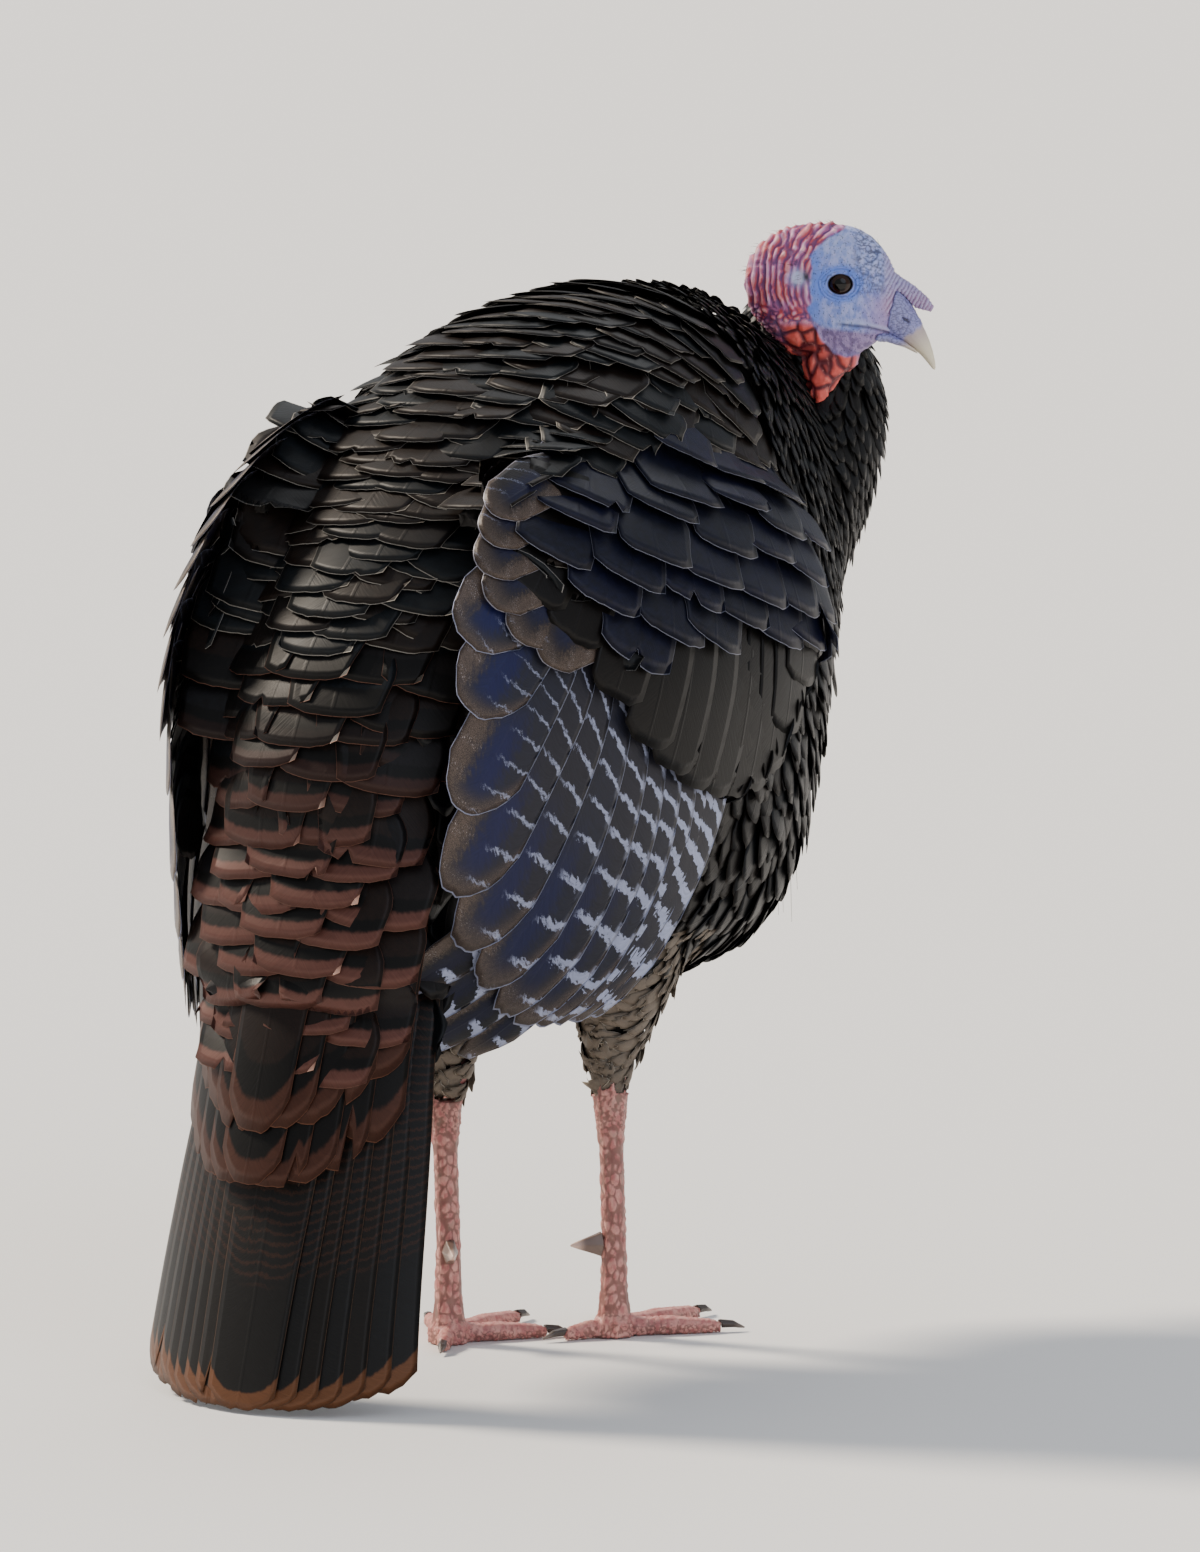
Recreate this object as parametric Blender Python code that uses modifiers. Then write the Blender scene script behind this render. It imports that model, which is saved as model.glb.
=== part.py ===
"""A life-size adult male wild turkey, standing hunched with its head turned to its right.

The bird faces -Y and its right side is -X. Its parts are laid out in the bird's own directions,
right, forward and up, and place() turns those into the frame. The floor is at zero height, and
both feet and the tip of the tail stand on it.
"""

import math

import bmesh
import bpy
from mathutils import Vector

# --- Driving dimensions, in metres and degrees -------------------------------------------------
SET_BACK = 0.011  # moves the whole bird back so that its box is centred on the origin
CUT_MARGIN = 0.00045  # a cutter grows by this much, which leaves about 0.3 mm between two parts

TRUNK_TAIL_END = (-0.24, 0.285)  # forward, up: the rear end of the trunk's axis
TRUNK_PITCH = 28.0  # the trunk's axis rises towards the breast
# (distance along the axis, above it, below it, half width, fullness of the section)
TRUNK_SECTIONS = (
    (0.000, 0.050, 0.040, 0.052, 2.0),
    (0.050, 0.110, 0.070, 0.080, 2.1),
    (0.120, 0.158, 0.120, 0.102, 2.3),
    (0.200, 0.182, 0.182, 0.120, 2.6),
    (0.270, 0.190, 0.234, 0.130, 3.0),
    (0.335, 0.189, 0.250, 0.124, 3.0),
    (0.395, 0.178, 0.228, 0.110, 2.7),
    (0.455, 0.152, 0.188, 0.098, 2.4),
    (0.515, 0.112, 0.140, 0.078, 2.2),
    (0.550, 0.060, 0.080, 0.048, 2.0),
)

# (right, forward, up, radius) of the feathered neck, from the breast up to the nape
NECK_SECTIONS = (
    (0.000, 0.150, 0.430, 0.090),
    (0.000, 0.205, 0.465, 0.084),
    (0.006, 0.248, 0.500, 0.075),
    (0.018, 0.274, 0.545, 0.062),
    (0.026, 0.257, 0.579, 0.047),
    (0.033, 0.230, 0.598, 0.034),
    (0.039, 0.214, 0.603, 0.023),
)

HEAD_AT = (0.070, 0.230, 0.621)  # right, forward, up: between the eyes
HEAD_TURN = 57.0  # the head looks this far to the bird's right of forward
# (top ahead, top up, bottom ahead, bottom up, half width) of each section, measured from HEAD_AT
HEAD_SECTIONS = (
    (-0.0570, 0.0080, -0.0540, -0.0120, 0.0080),
    (-0.0470, 0.0260, -0.0420, -0.0280, 0.0165),
    (-0.0310, 0.0365, -0.0280, -0.0400, 0.0205),
    (-0.0120, 0.0395, -0.0100, -0.0450, 0.0208),
    (0.0070, 0.0385, 0.0080, -0.0450, 0.0190),
    (0.0230, 0.0320, 0.0200, -0.0400, 0.0160),
    (0.0340, 0.0170, 0.0290, -0.0320, 0.0120),
    (0.0390, 0.0030, 0.0340, -0.0270, 0.0090),
)
UPPER_BILL_SECTIONS = (
    (0.0280, 0.0040, 0.0230, -0.0260, 0.0110),
    (0.0410, -0.0010, 0.0340, -0.0305, 0.0098),
    (0.0490, -0.0160, 0.0425, -0.0350, 0.0080),
    (0.0558, -0.0280, 0.0495, -0.0400, 0.0058),
    (0.0602, -0.0400, 0.0552, -0.0455, 0.0036),
    (0.0622, -0.0525, 0.0602, -0.0525, 0.0010),
)
LOWER_BILL_SECTIONS = (
    (0.0180, -0.0250, 0.0180, -0.0340, 0.0092),
    (0.0330, -0.0290, 0.0325, -0.0342, 0.0078),
    (0.0435, -0.0340, 0.0425, -0.0380, 0.0060),
    (0.0510, -0.0385, 0.0500, -0.0418, 0.0036),
    (0.0550, -0.0420, 0.0545, -0.0438, 0.0012),
)
SNOOD_SECTIONS = (
    (0.0270, 0.0105, 0.0230, -0.0050, 0.0070),
    (0.0380, 0.0070, 0.0340, -0.0075, 0.0066),
    (0.0485, 0.0000, 0.0435, -0.0125, 0.0055),
    (0.0565, -0.0070, 0.0520, -0.0150, 0.0040),
    (0.0605, -0.0130, 0.0585, -0.0165, 0.0020),
)
WATTLE_SECTIONS = (
    (0.0160, -0.0380, -0.0180, -0.0360, 0.0110),
    (0.0150, -0.0480, -0.0190, -0.0480, 0.0110),
    (0.0020, -0.0580, -0.0175, -0.0585, 0.0090),
    (-0.0035, -0.0665, -0.0155, -0.0665, 0.0062),
    (-0.0080, -0.0715, -0.0120, -0.0715, 0.0025),
)
EYE_RADIUS = 0.0085
EYE_AHEAD = 0.003  # the eyeballs' centres lie this far ahead of HEAD_AT
EYE_UP = 0.002
EYE_OFFSET = 0.0122  # from the middle of the head to the centre of each eyeball

WING_CENTRE = (-0.03, 0.40)  # forward, up: middle of the folded wing's curved outer face
WING_REACH = (0.158, 0.30, 0.260, 0.205)  # its half axes: outward, forward, back, up
WING_DROP = {"right": 0.27, "left": 0.55}  # its half axis down: the left wing hangs wider
WING_STEP = 0.0014  # each feather's free edge stands this proud of the next feather
PAD_LIFT = 0.003  # the pad of coverts lies this proud of the feathers that it covers
PAD_FALL = 0.011  # and falls off by this much at its front and upper borders
PAD_DEPTH = 0.036
# Control points (forward, up) of the curves that bound the wing's groups of feathers
COVERT_TOP = ((0.140, 0.485), (0.112, 0.535), (0.020, 0.560), (-0.100, 0.555), (-0.187, 0.514))
COVERT_FOOT = ((0.134, 0.442), (0.082, 0.400), (-0.006, 0.337), (-0.082, 0.372), (-0.172, 0.488))
SECONDARY_ROOTS = ((-0.080, 0.500), (-0.040, 0.460), (0.010, 0.410), (0.026, 0.350))
SECONDARY_TIPS = {
    "right": (
        (-0.178, 0.518), (-0.236, 0.440), (-0.252, 0.360), (-0.234, 0.280), (-0.175, 0.222),
        (-0.092, 0.212),
    ),
    "left": (
        (-0.178, 0.518), (-0.236, 0.440), (-0.254, 0.360), (-0.255, 0.288), (-0.238, 0.216),
        (-0.092, 0.212),
    ),
}
SECONDARY_COUNT = 9
PRIMARY_ROOTS = ((-0.150, 0.310), (-0.110, 0.270))
PRIMARY_TIPS = ((-0.224, 0.245), (-0.214, 0.190), (-0.160, 0.192))
PRIMARY_COUNT = 3
PRIMARY_DEPTH = 0.0125  # the primaries lie this deep under the face of the secondaries

# (forward, up) along the middle of the tail, from its root to its tip on the floor
TAIL_LINE = ((-0.200, 0.300), (-0.248, 0.205), (-0.278, 0.100), (-0.300, -0.005))
TAIL_HALF_WIDTH = (0.066, 0.092)  # at the root and at the tip
TAIL_FEATHERS = 7
COVERT_FEATHERS = 5
LONG_COVERT_LINE = ((-0.215, 0.350), (-0.255, 0.250), (-0.284, 0.130))
LONG_COVERT_HALF_WIDTH = (0.066, 0.080)
SHORT_COVERT_LINE = ((-0.190, 0.450), (-0.246, 0.340), (-0.270, 0.235))
SHORT_COVERT_HALF_WIDTH = (0.075, 0.079)
ROOF = 0.034  # how far the sides of the tail fall forward of its middle

FOOT_RIGHT = (0.035, 0.038)  # right, forward: where the right shank meets its foot
FOOT_LEFT = (-0.035, -0.036)
# (outward, forward, up, half length, half width) of the feathered thigh above the foot
THIGH_SECTIONS = (
    (0.020, -0.006, 0.300, 0.060, 0.046),
    (0.014, -0.004, 0.250, 0.050, 0.038),
    (0.006, 0.000, 0.208, 0.036, 0.029),
    (0.000, 0.000, 0.180, 0.025, 0.021),
    (-0.002, -0.001, 0.160, 0.018, 0.015),
    (-0.002, -0.002, 0.148, 0.013, 0.012),
)
# (forward, up, half depth, half width) of the scaly shank with its hock joint
SHANK_SECTIONS = (
    (-0.003, 0.174, 0.0100, 0.0085),
    (-0.004, 0.154, 0.0140, 0.0115),
    (-0.004, 0.138, 0.0118, 0.0098),
    (-0.003, 0.115, 0.0088, 0.0074),
    (0.000, 0.060, 0.0086, 0.0074),
    (0.000, 0.028, 0.0096, 0.0084),
    (0.000, 0.012, 0.0115, 0.0105),
)
SPUR_HEIGHT = 0.056
SPUR_LENGTH = 0.0215
SPUR_SUNK = 0.006  # its root starts this far behind the middle of the shank
SPUR_TURN = 40.0  # degrees from straight back towards the other leg
# (share of the length, half height, half width)
SPUR_SECTIONS = (
    (0.0, 0.0095, 0.0052),
    (0.3, 0.0066, 0.0044),
    (0.75, 0.0030, 0.0022),
    (1.0, 0.0007, 0.0007),
)
# (name, degrees from forward towards the outer side, length, radius at the root)
TOES = (
    ("middle", 4.0, 0.084, 0.0072),
    ("inner", -38.0, 0.062, 0.0066),
    ("outer", 44.0, 0.066, 0.0066),
    ("hind", -152.0, 0.034, 0.0056),
)
TOE_SECTIONS = (  # (share of the length, share of the radius, height) of each toe
    (0.0, 1.00, 0.0130),
    (0.34, 0.84, 0.0108),
    (0.50, 0.96, 0.0112),
    (0.90, 0.74, 0.0082),
    (1.0, 0.44, 0.0060),
)
CLAW_LENGTH = 0.015
CLAW_SECTIONS = ((-0.1, 0.0031, 0.0050), (0.5, 0.0025, 0.0044), (1.0, 0.0007, 0.0018))
CLAW_CLEARANCE = 0.0006  # the claws stay this far off the floor
SOLE = 0.0  # height of the flats that the bird stands on
SOLE_CUT = 0.0012  # what is cut off below the toes to make those flats
PAD_SECTIONS = ((SOLE - SOLE_CUT, 0.013), (0.008, 0.013), (0.015, 0.010))

BEARD_ROOT = (0.0, 0.270, 0.415)
BEARD_LENGTH = 0.190
BEARD_SWING = 0.042  # its tip hangs this far behind its root
BEARD_BOW = 0.014  # and its middle this far ahead of the line between them
BEARD_FLATNESS = 0.7
BEARD_SECTIONS = ((0.0, 0.008), (0.15, 0.009), (0.45, 0.011), (0.8, 0.009), (1.0, 0.004))


ACROSS = Vector((1, 0, 0))  # from the bird's right to its left


# --- Placing and shaping ------------------------------------------------------------------------
def place(right, forward, up):
    """A point given in the bird's directions, in the frame."""
    return Vector((-right, -(forward - SET_BACK), up))


def through(points, share):
    """The point at a share of the way along a smooth curve through the given points."""
    spans = len(points) - 1
    at = min(max(share, 0.0), 1.0) * spans
    index = min(int(at), spans - 1)
    t = at - index
    near = [Vector(points[min(max(index + step, 0), spans)]) for step in (-1, 0, 1, 2)]
    return 0.5 * (
        2 * near[1]
        + (near[2] - near[0]) * t
        + (2 * near[0] - 5 * near[1] + 4 * near[2] - near[3]) * t**2
        + (3 * near[1] - near[0] - 3 * near[2] + near[3]) * t**3
    )


def ring(top, bottom, side, half_width, count=12, fullness=2.0, split=0.5, cage=False):
    """A closed section between its top and bottom points, bulging to each side.

    Split is how far from the bottom its widest level lies, as a share of its height. A section
    of a cage is drawn a little larger, because rounding the cage draws it in again.
    """
    up = top - bottom
    middle = bottom + up * split
    swell = 8.0 / (6.0 + 2.0 * math.cos(2.0 * math.pi / count)) if cage else 1.0
    points = []
    for index in range(count):
        angle = 2.0 * math.pi * index / count
        across = math.copysign(abs(math.cos(angle)) ** (2.0 / fullness), math.cos(angle))
        along = math.copysign(abs(math.sin(angle)) ** (2.0 / fullness), math.sin(angle))
        reach = 1.0 - split if along > 0 else split
        points.append(middle + side * half_width * across * swell + up * reach * along * swell)
    return points


def loft(name, rings, flat_faces=True):
    """A closed form through sections that have the same number of points."""
    bm = bmesh.new()
    loops = [[bm.verts.new(point) for point in points] for points in rings]
    count = len(loops[0])
    for near, far in zip(loops, loops[1:]):
        for index in range(count):
            after = (index + 1) % count
            bm.faces.new((near[index], near[after], far[after], far[index]))
    bm.faces.new(loops[0])
    bm.faces.new(loops[-1])
    return finished(name, bm, flat_faces)


def finished(name, bm, flat_faces=True):
    """An object from a bmesh, its faces turned outwards and, unless it is a cage, split flat."""
    bmesh.ops.recalc_face_normals(bm, faces=bm.faces)
    if flat_faces:
        bmesh.ops.triangulate(bm, faces=bm.faces)
    mesh = bpy.data.meshes.new(name)
    bm.to_mesh(mesh)
    bm.free()
    made = bpy.data.objects.new(name, mesh)
    PARTS.objects.link(made)
    return made


def rounded(obj, levels=1):
    """Smooths a cage with a Subdivision Surface and keeps the result."""
    smooth = obj.modifiers.new("Rounded", "SUBSURF")
    smooth.levels = levels
    smooth.render_levels = levels
    return applied(obj)


def applied(obj):
    """Replaces an object's mesh by the triangles of what its modifiers make of it."""
    graph = bpy.context.evaluated_depsgraph_get()
    graph.update()
    mesh = bpy.data.meshes.new_from_object(obj.evaluated_get(graph))
    bm = bmesh.new()
    bm.from_mesh(mesh)
    bmesh.ops.triangulate(bm, faces=bm.faces)
    bm.to_mesh(mesh)
    bm.free()
    old = obj.data
    obj.modifiers.clear()
    obj.data = mesh
    mesh.name = obj.name
    bpy.data.meshes.remove(old)
    return obj


def swollen(obj, margin=CUT_MARGIN):
    """A cutter: a copy of the object, grown all round by a small margin."""
    cutter = bpy.data.objects.new("cut_by_" + obj.name, obj.data.copy())
    CUTTERS.objects.link(cutter)
    cutter.hide_render = True
    cutter.display_type = "WIRE"
    grow = cutter.modifiers.new("Grow", "DISPLACE")
    grow.strength = margin
    grow.mid_level = 0.0
    return cutter


def carve(obj, *neighbours, margin=CUT_MARGIN):
    """Cuts away what lies inside the neighbours, and keeps the largest piece that is left."""
    for neighbour in neighbours:
        cut = obj.modifiers.new("Clear of " + neighbour.name, "BOOLEAN")
        cut.operation = "DIFFERENCE"
        cut.solver = "MANIFOLD"  # the exact solver leaves open edges on such thin sheets
        cut.object = swollen(neighbour, margin)
    applied(obj)
    keep_largest(obj)
    return obj


def join(obj, *others):
    """Unites shapes into one closed body."""
    for other in others:
        add = obj.modifiers.new("With " + other.name, "BOOLEAN")
        add.operation = "UNION"
        add.solver = "MANIFOLD"
        add.object = other
    applied(obj)
    for other in others:
        bpy.data.objects.remove(other)
    return obj


def keep_largest(obj):
    """Removes the crumbs that a cut leaves beside the main piece."""
    bm = bmesh.new()
    bm.from_mesh(obj.data)
    unseen = set(bm.verts)
    pieces = []
    while unseen:
        piece = {unseen.pop()}
        edge = list(piece)
        while edge:
            found = {link.other_vert(vert) for vert in edge for link in vert.link_edges} & unseen
            unseen -= found
            piece |= found
            edge = list(found)
        pieces.append(piece)
    pieces.sort(key=len)
    bmesh.ops.delete(bm, geom=[vert for piece in pieces[:-1] for vert in piece], context="VERTS")
    bm.to_mesh(obj.data)
    bm.free()


def stand_flat(obj, height=SOLE):
    """Cuts an object off at the floor and closes the cut with a flat face."""
    bm = bmesh.new()
    bm.from_mesh(obj.data)
    everything = bm.verts[:] + bm.edges[:] + bm.faces[:]
    cut = bmesh.ops.bisect_plane(
        bm, geom=everything, dist=1e-6, plane_co=(0, 0, height), plane_no=(0, 0, -1), clear_outer=True
    )
    rim = [part for part in cut["geom_cut"] if isinstance(part, bmesh.types.BMEdge)]
    bmesh.ops.holes_fill(bm, edges=rim, sides=0)
    bmesh.ops.recalc_face_normals(bm, faces=bm.faces)
    bm.to_mesh(obj.data)
    bm.free()
    return obj


def dressed(obj, colour, roughness=0.6, metallic=0.0):
    """Gives a part its own material and smooth shading."""
    finish = bpy.data.materials.new(obj.name)
    finish.use_nodes = True
    shader = finish.node_tree.nodes["Principled BSDF"]
    shader.inputs["Base Color"].default_value = (*colour, 1.0)
    shader.inputs["Roughness"].default_value = roughness
    shader.inputs["Metallic"].default_value = metallic
    obj.data.materials.clear()
    obj.data.materials.append(finish)
    obj.data.shade_smooth()
    obj.data.set_sharp_from_angle(angle=math.radians(40.0))
    return obj


BLACK_FEATHER = (0.014, 0.011, 0.009)
BROWN_FEATHER = (0.085, 0.066, 0.055)
CHESTNUT = (0.16, 0.06, 0.03)
BLUE_SKIN = (0.33, 0.40, 0.62)
RED_SKIN = (0.60, 0.12, 0.09)
PINK_SCALE = (0.50, 0.24, 0.19)
HORN = (0.55, 0.46, 0.34)
CLAW_HORN = (0.12, 0.09, 0.07)


# --- Feather groups: sheets of overlapping vanes ------------------------------------------------
def closed_sheet(name, bm, outer, inner):
    """Faces over two grids of vertices that face each other, and round their border."""
    last, rows = len(outer) - 1, len(outer[0]) - 1
    for column in range(last):
        for row in range(rows):
            for near, far in (outer[column : column + 2], inner[column : column + 2]):
                bm.faces.new((near[row], far[row], far[row + 1], near[row + 1]))
        for row in (0, rows):
            above, below = outer[column : column + 2], inner[column : column + 2]
            bm.faces.new((above[0][row], above[1][row], below[1][row], below[0][row]))
    for above, below in ((outer[0], inner[0]), (outer[last], inner[last])):
        for row in range(rows):
            bm.faces.new((above[row], above[row + 1], below[row + 1], below[row]))
    bmesh.ops.remove_doubles(bm, verts=bm.verts, dist=0.00001)
    return finished(name, bm)


def vane_sheet(name, edges, surface, thickness, mirrored=False, notch=0.1, rows=3, step=WING_STEP, sink=0):
    """A closed sheet of overlapping feathers with rounded tips.

    Edges lists the (root, tip) ends of each line between two feathers, on a flat chart, and
    surface(point, lift) lays a point of that chart on the bird. Each feather rises towards its
    outer edge and drops by one step to the next. A mirrored sheet rises from its middle feather
    to both sides. Thickness is given at the roots and at the tips, and sink is how deep the
    roots dive under what covers them.
    """
    feathers = len(edges) - 1
    shares = (0.0, 0.3, 0.7, 1.0)
    columns = []
    for feather in range(feathers):
        outward = feather - (feathers - 1) / 2 if mirrored else 1.0
        for share in shares:
            root = edges[feather][0].lerp(edges[feather + 1][0], share)
            tip = edges[feather][1].lerp(edges[feather + 1][1], share)
            reach = 1.0 - notch * (2.0 * share - 1.0) ** 2
            rise = step * (share if outward > 0 else 1.0 - share)
            if abs(outward) < 0.25:  # the middle feather lies on top of both its neighbours
                rise = step
            columns.append((root, root + (tip - root) * reach, rise))
    bm = bmesh.new()
    outer, inner = [], []
    for root, tip, rise in columns:
        outer.append([])
        inner.append([])
        for row in range(rows + 1):
            along = row / rows
            point = root.lerp(tip, along)
            deep = thickness[0] + (thickness[1] - thickness[0]) * math.sqrt(along)
            dive = sink * (1.0 - along) ** 2
            outer[-1].append(bm.verts.new(surface(point, rise - dive)))
            inner[-1].append(bm.verts.new(surface(point, -deep - dive)))
    return closed_sheet(name, bm, outer, inner)


# --- Parts ---------------------------------------------------------------------------------------
def make_trunk():
    """Breast, belly, back and rump in one barrel that rises towards the breast."""
    pitch = math.radians(TRUNK_PITCH)
    axis = Vector((math.cos(pitch), math.sin(pitch)))
    dorsal = Vector((-math.sin(pitch), math.cos(pitch)))
    rings = []
    for along, above, below, half_width, fullness in TRUNK_SECTIONS:
        centre = Vector(TRUNK_TAIL_END) + axis * along
        top = centre + dorsal * above
        bottom = centre - dorsal * below
        split = below / (above + below)
        rings.append(
            ring(place(0, *top), place(0, *bottom), ACROSS, half_width, 12, fullness, split, True)
        )
    return dressed(rounded(loft("trunk", rings, False)), BLACK_FEATHER)


def make_neck(head, trunk):
    """The feathered neck, a bent tube whose top is hidden in the nape."""
    spots = [Vector(section[:3]) for section in NECK_SECTIONS]
    rings = []
    for index, section in enumerate(NECK_SECTIONS):
        ahead = spots[min(index + 1, len(spots) - 1)] - spots[max(index - 1, 0)]
        side = ACROSS
        back = ahead.cross(side).normalized() * section[3]
        top = spots[index] + back
        bottom = spots[index] - back
        rings.append(ring(place(*top), place(*bottom), side, section[3], 8, cage=True))
    neck = rounded(loft("neck", rings, False))
    carve(neck, trunk, head)
    return dressed(neck, BLACK_FEATHER)


def on_head(ahead, up, aside=0.0):
    """A point of the head, given ahead of and above the eyes and towards the head's right."""
    turn = math.radians(HEAD_TURN)
    right, forward, height = HEAD_AT
    return place(
        right + ahead * math.sin(turn) + aside * math.cos(turn),
        forward + ahead * math.cos(turn) - aside * math.sin(turn),
        height + up,
    )


def head_loft(name, sections, count=10, cage=True):
    """A closed form along the head's own direction, rounded if its sections form a cage."""
    side = (on_head(0, 0, 1) - on_head(0, 0, 0)).normalized()
    rings = []
    for top_ahead, top_up, foot_ahead, foot_up, half_width in sections:
        top = on_head(top_ahead, top_up)
        bottom = on_head(foot_ahead, foot_up)
        rings.append(ring(top, bottom, side, half_width, count, cage=cage))
    return rounded(loft(name, rings, False)) if cage else loft(name, rings)


def make_eye(name, aside):
    """An eyeball, sunk in the side of the head."""
    bm = bmesh.new()
    bmesh.ops.create_uvsphere(bm, u_segments=10, v_segments=6, radius=EYE_RADIUS)
    bmesh.ops.translate(bm, verts=bm.verts, vec=on_head(EYE_AHEAD, EYE_UP, aside * EYE_OFFSET))
    return dressed(finished(name, bm), (0.03, 0.015, 0.01), 0.1)


def make_head():
    """Skull and face, bill, snood, wattle and eyes."""
    eyes = [make_eye("eye_right", 1.0), make_eye("eye_left", -1.0)]
    head = head_loft("head", HEAD_SECTIONS)
    whole = bpy.data.objects.new("whole_head", head.data.copy())
    carve(head, *eyes)
    upper = head_loft("bill_upper", UPPER_BILL_SECTIONS, 8)
    carve(upper, whole)
    lower = head_loft("bill_lower", LOWER_BILL_SECTIONS, 8, False)
    carve(lower, whole, upper, margin=1.5 * CUT_MARGIN)
    snood = head_loft("snood", SNOOD_SECTIONS, 8, False)
    carve(snood, whole, upper, margin=2 * CUT_MARGIN)
    wattle = head_loft("wattle", WATTLE_SECTIONS, 8, False)
    carve(wattle, whole)
    dressed(head, BLUE_SKIN)
    dressed(upper, HORN, 0.4)
    dressed(lower, HORN, 0.4)
    dressed(snood, BLUE_SKIN)
    dressed(wattle, RED_SKIN)
    return whole, wattle


def wing_face(word, side):
    """Lays a (forward, up) chart on the outer face of one folded wing."""

    def surface(point, lift):
        forward, up = point
        length = WING_REACH[1] if forward > WING_CENTRE[0] else WING_REACH[2]
        height = WING_REACH[3] if up > WING_CENTRE[1] else WING_DROP[word]
        spread = 1.0 - ((forward - WING_CENTRE[0]) / length) ** 2 - ((up - WING_CENTRE[1]) / height) ** 2
        return place(side * (WING_REACH[0] * math.sqrt(max(spread, 0.02)) + lift), forward, up)

    return surface


def fan_edges(roots, tips, feathers):
    """The lines between the feathers of a fan, from its curve of roots to its curve of tips."""
    return [(through(roots, i / feathers), through(tips, i / feathers)) for i in range(feathers + 1)]


def make_covert_shield(name, surface):
    """The part of the wing over arm and wrist: a thick pad, rounded at its border."""
    columns, rows = 9, 4
    bm = bmesh.new()
    outer, inner = [], []
    for column in range(columns + 1):
        across = column / columns
        top = through(COVERT_TOP, across)
        foot = through(COVERT_FOOT, across)
        outer.append([])
        inner.append([])
        for row in range(rows + 1):
            down = row / rows
            border = min(across, down, 0.3) / 0.3
            lift = PAD_LIFT - PAD_FALL * (1.0 - border) ** 2
            point = top.lerp(foot, down)
            outer[-1].append(bm.verts.new(surface(point, lift)))
            inner[-1].append(bm.verts.new(surface(point, PAD_LIFT - PAD_DEPTH)))
    return closed_sheet(name, bm, outer, inner)


def make_wing(word, side, trunk, neck):
    """One folded wing: arm and coverts, secondaries, and the tips of the primaries below them."""
    surface = wing_face(word, side)
    coverts = make_covert_shield(f"wing_{word}_coverts", surface)
    secondaries = vane_sheet(
        f"wing_{word}_secondaries",
        fan_edges(SECONDARY_ROOTS, SECONDARY_TIPS[word], SECONDARY_COUNT),
        surface,
        thickness=(0.010, 0.004),
        sink=0.006,
    )
    primaries = vane_sheet(
        f"wing_{word}_primaries",
        fan_edges(PRIMARY_ROOTS, PRIMARY_TIPS, PRIMARY_COUNT),
        lambda point, lift: surface(point, lift - PRIMARY_DEPTH),
        thickness=(0.003, 0.0025),
        notch=0.08,
        rows=2,
    )
    carve(coverts, trunk, neck)
    carve(secondaries, trunk, coverts)
    carve(primaries, trunk, secondaries)
    dressed(coverts, BLACK_FEATHER)
    dressed(secondaries, BROWN_FEATHER)
    dressed(primaries, BROWN_FEATHER)
    return coverts, secondaries, primaries


def tail_face(line):
    """Lays a (sideways, along) chart on the tail, whose sides fall forward like a roof."""

    def surface(point, lift):
        sideways, along = point
        here = through(line, along)
        ahead = (through(line, min(along + 0.02, 1.0)) - through(line, max(along - 0.02, 0.0))).normalized()
        if along > 1.0:
            here = here + ahead * (along - 1.0) * 0.3
        rear = Vector((ahead.y, -ahead.x))
        fall = ROOF * (sideways / TAIL_HALF_WIDTH[1]) ** 2
        here = here + rear * (lift - fall)
        return place(sideways, here.x, here.y)

    return surface


def tail_sheet(name, line, half_widths, feathers, thickness, bow, rows=3, step=0.0015):
    """A fan of feathers along a line of the tail, its middle feathers lying on top."""
    edges = []
    for index in range(feathers + 1):
        share = 2.0 * index / feathers - 1.0
        root = Vector((share * half_widths[0], 0.0))
        tip = Vector((share * half_widths[1], 1.0 - bow * share * share))
        edges.append((root, tip))
    return vane_sheet(name, edges, tail_face(line), thickness, True, 0.05, rows, step)


def make_tail(trunk, wings):
    """The closed tail fan and the two tiers of coverts over its root."""
    fan = tail_sheet("tail", TAIL_LINE, TAIL_HALF_WIDTH, TAIL_FEATHERS, (0.022, 0.005), 0.12)
    stand_flat(fan)
    long_tier = tail_sheet(
        "tail_coverts_long", LONG_COVERT_LINE, LONG_COVERT_HALF_WIDTH, COVERT_FEATHERS, (0.030, 0.003), 0.16
    )
    short_tier = tail_sheet(
        "tail_coverts_short", SHORT_COVERT_LINE, SHORT_COVERT_HALF_WIDTH, COVERT_FEATHERS, (0.040, 0.004), 0.12
    )
    flight = [wing[1] for wing in wings]
    carve(fan, trunk, *flight)
    carve(long_tier, trunk, fan, *flight)
    carve(short_tier, trunk, fan, long_tier, *flight, *[wing[0] for wing in wings])
    for wing in wings:
        carve(wing[2], fan, long_tier, short_tier)
    dressed(fan, CHESTNUT)
    dressed(long_tier, CHESTNUT)
    dressed(short_tier, BLACK_FEATHER)
    return fan, long_tier, short_tier


def make_thigh(word, side, foot, cutters):
    """The feathered thigh, from the flank down to the hock."""
    rings = []
    for outward, forward, up, half_length, half_width in THIGH_SECTIONS:
        centre = (foot[0] + side * outward, foot[1] + forward)
        front = place(centre[0], centre[1] + half_length, up)
        back = place(centre[0], centre[1] - half_length, up)
        rings.append(ring(front, back, ACROSS, half_width, 12))
    thigh = loft(f"thigh_{word}", rings)
    carve(thigh, *cutters)
    return dressed(thigh, BROWN_FEATHER)


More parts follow.
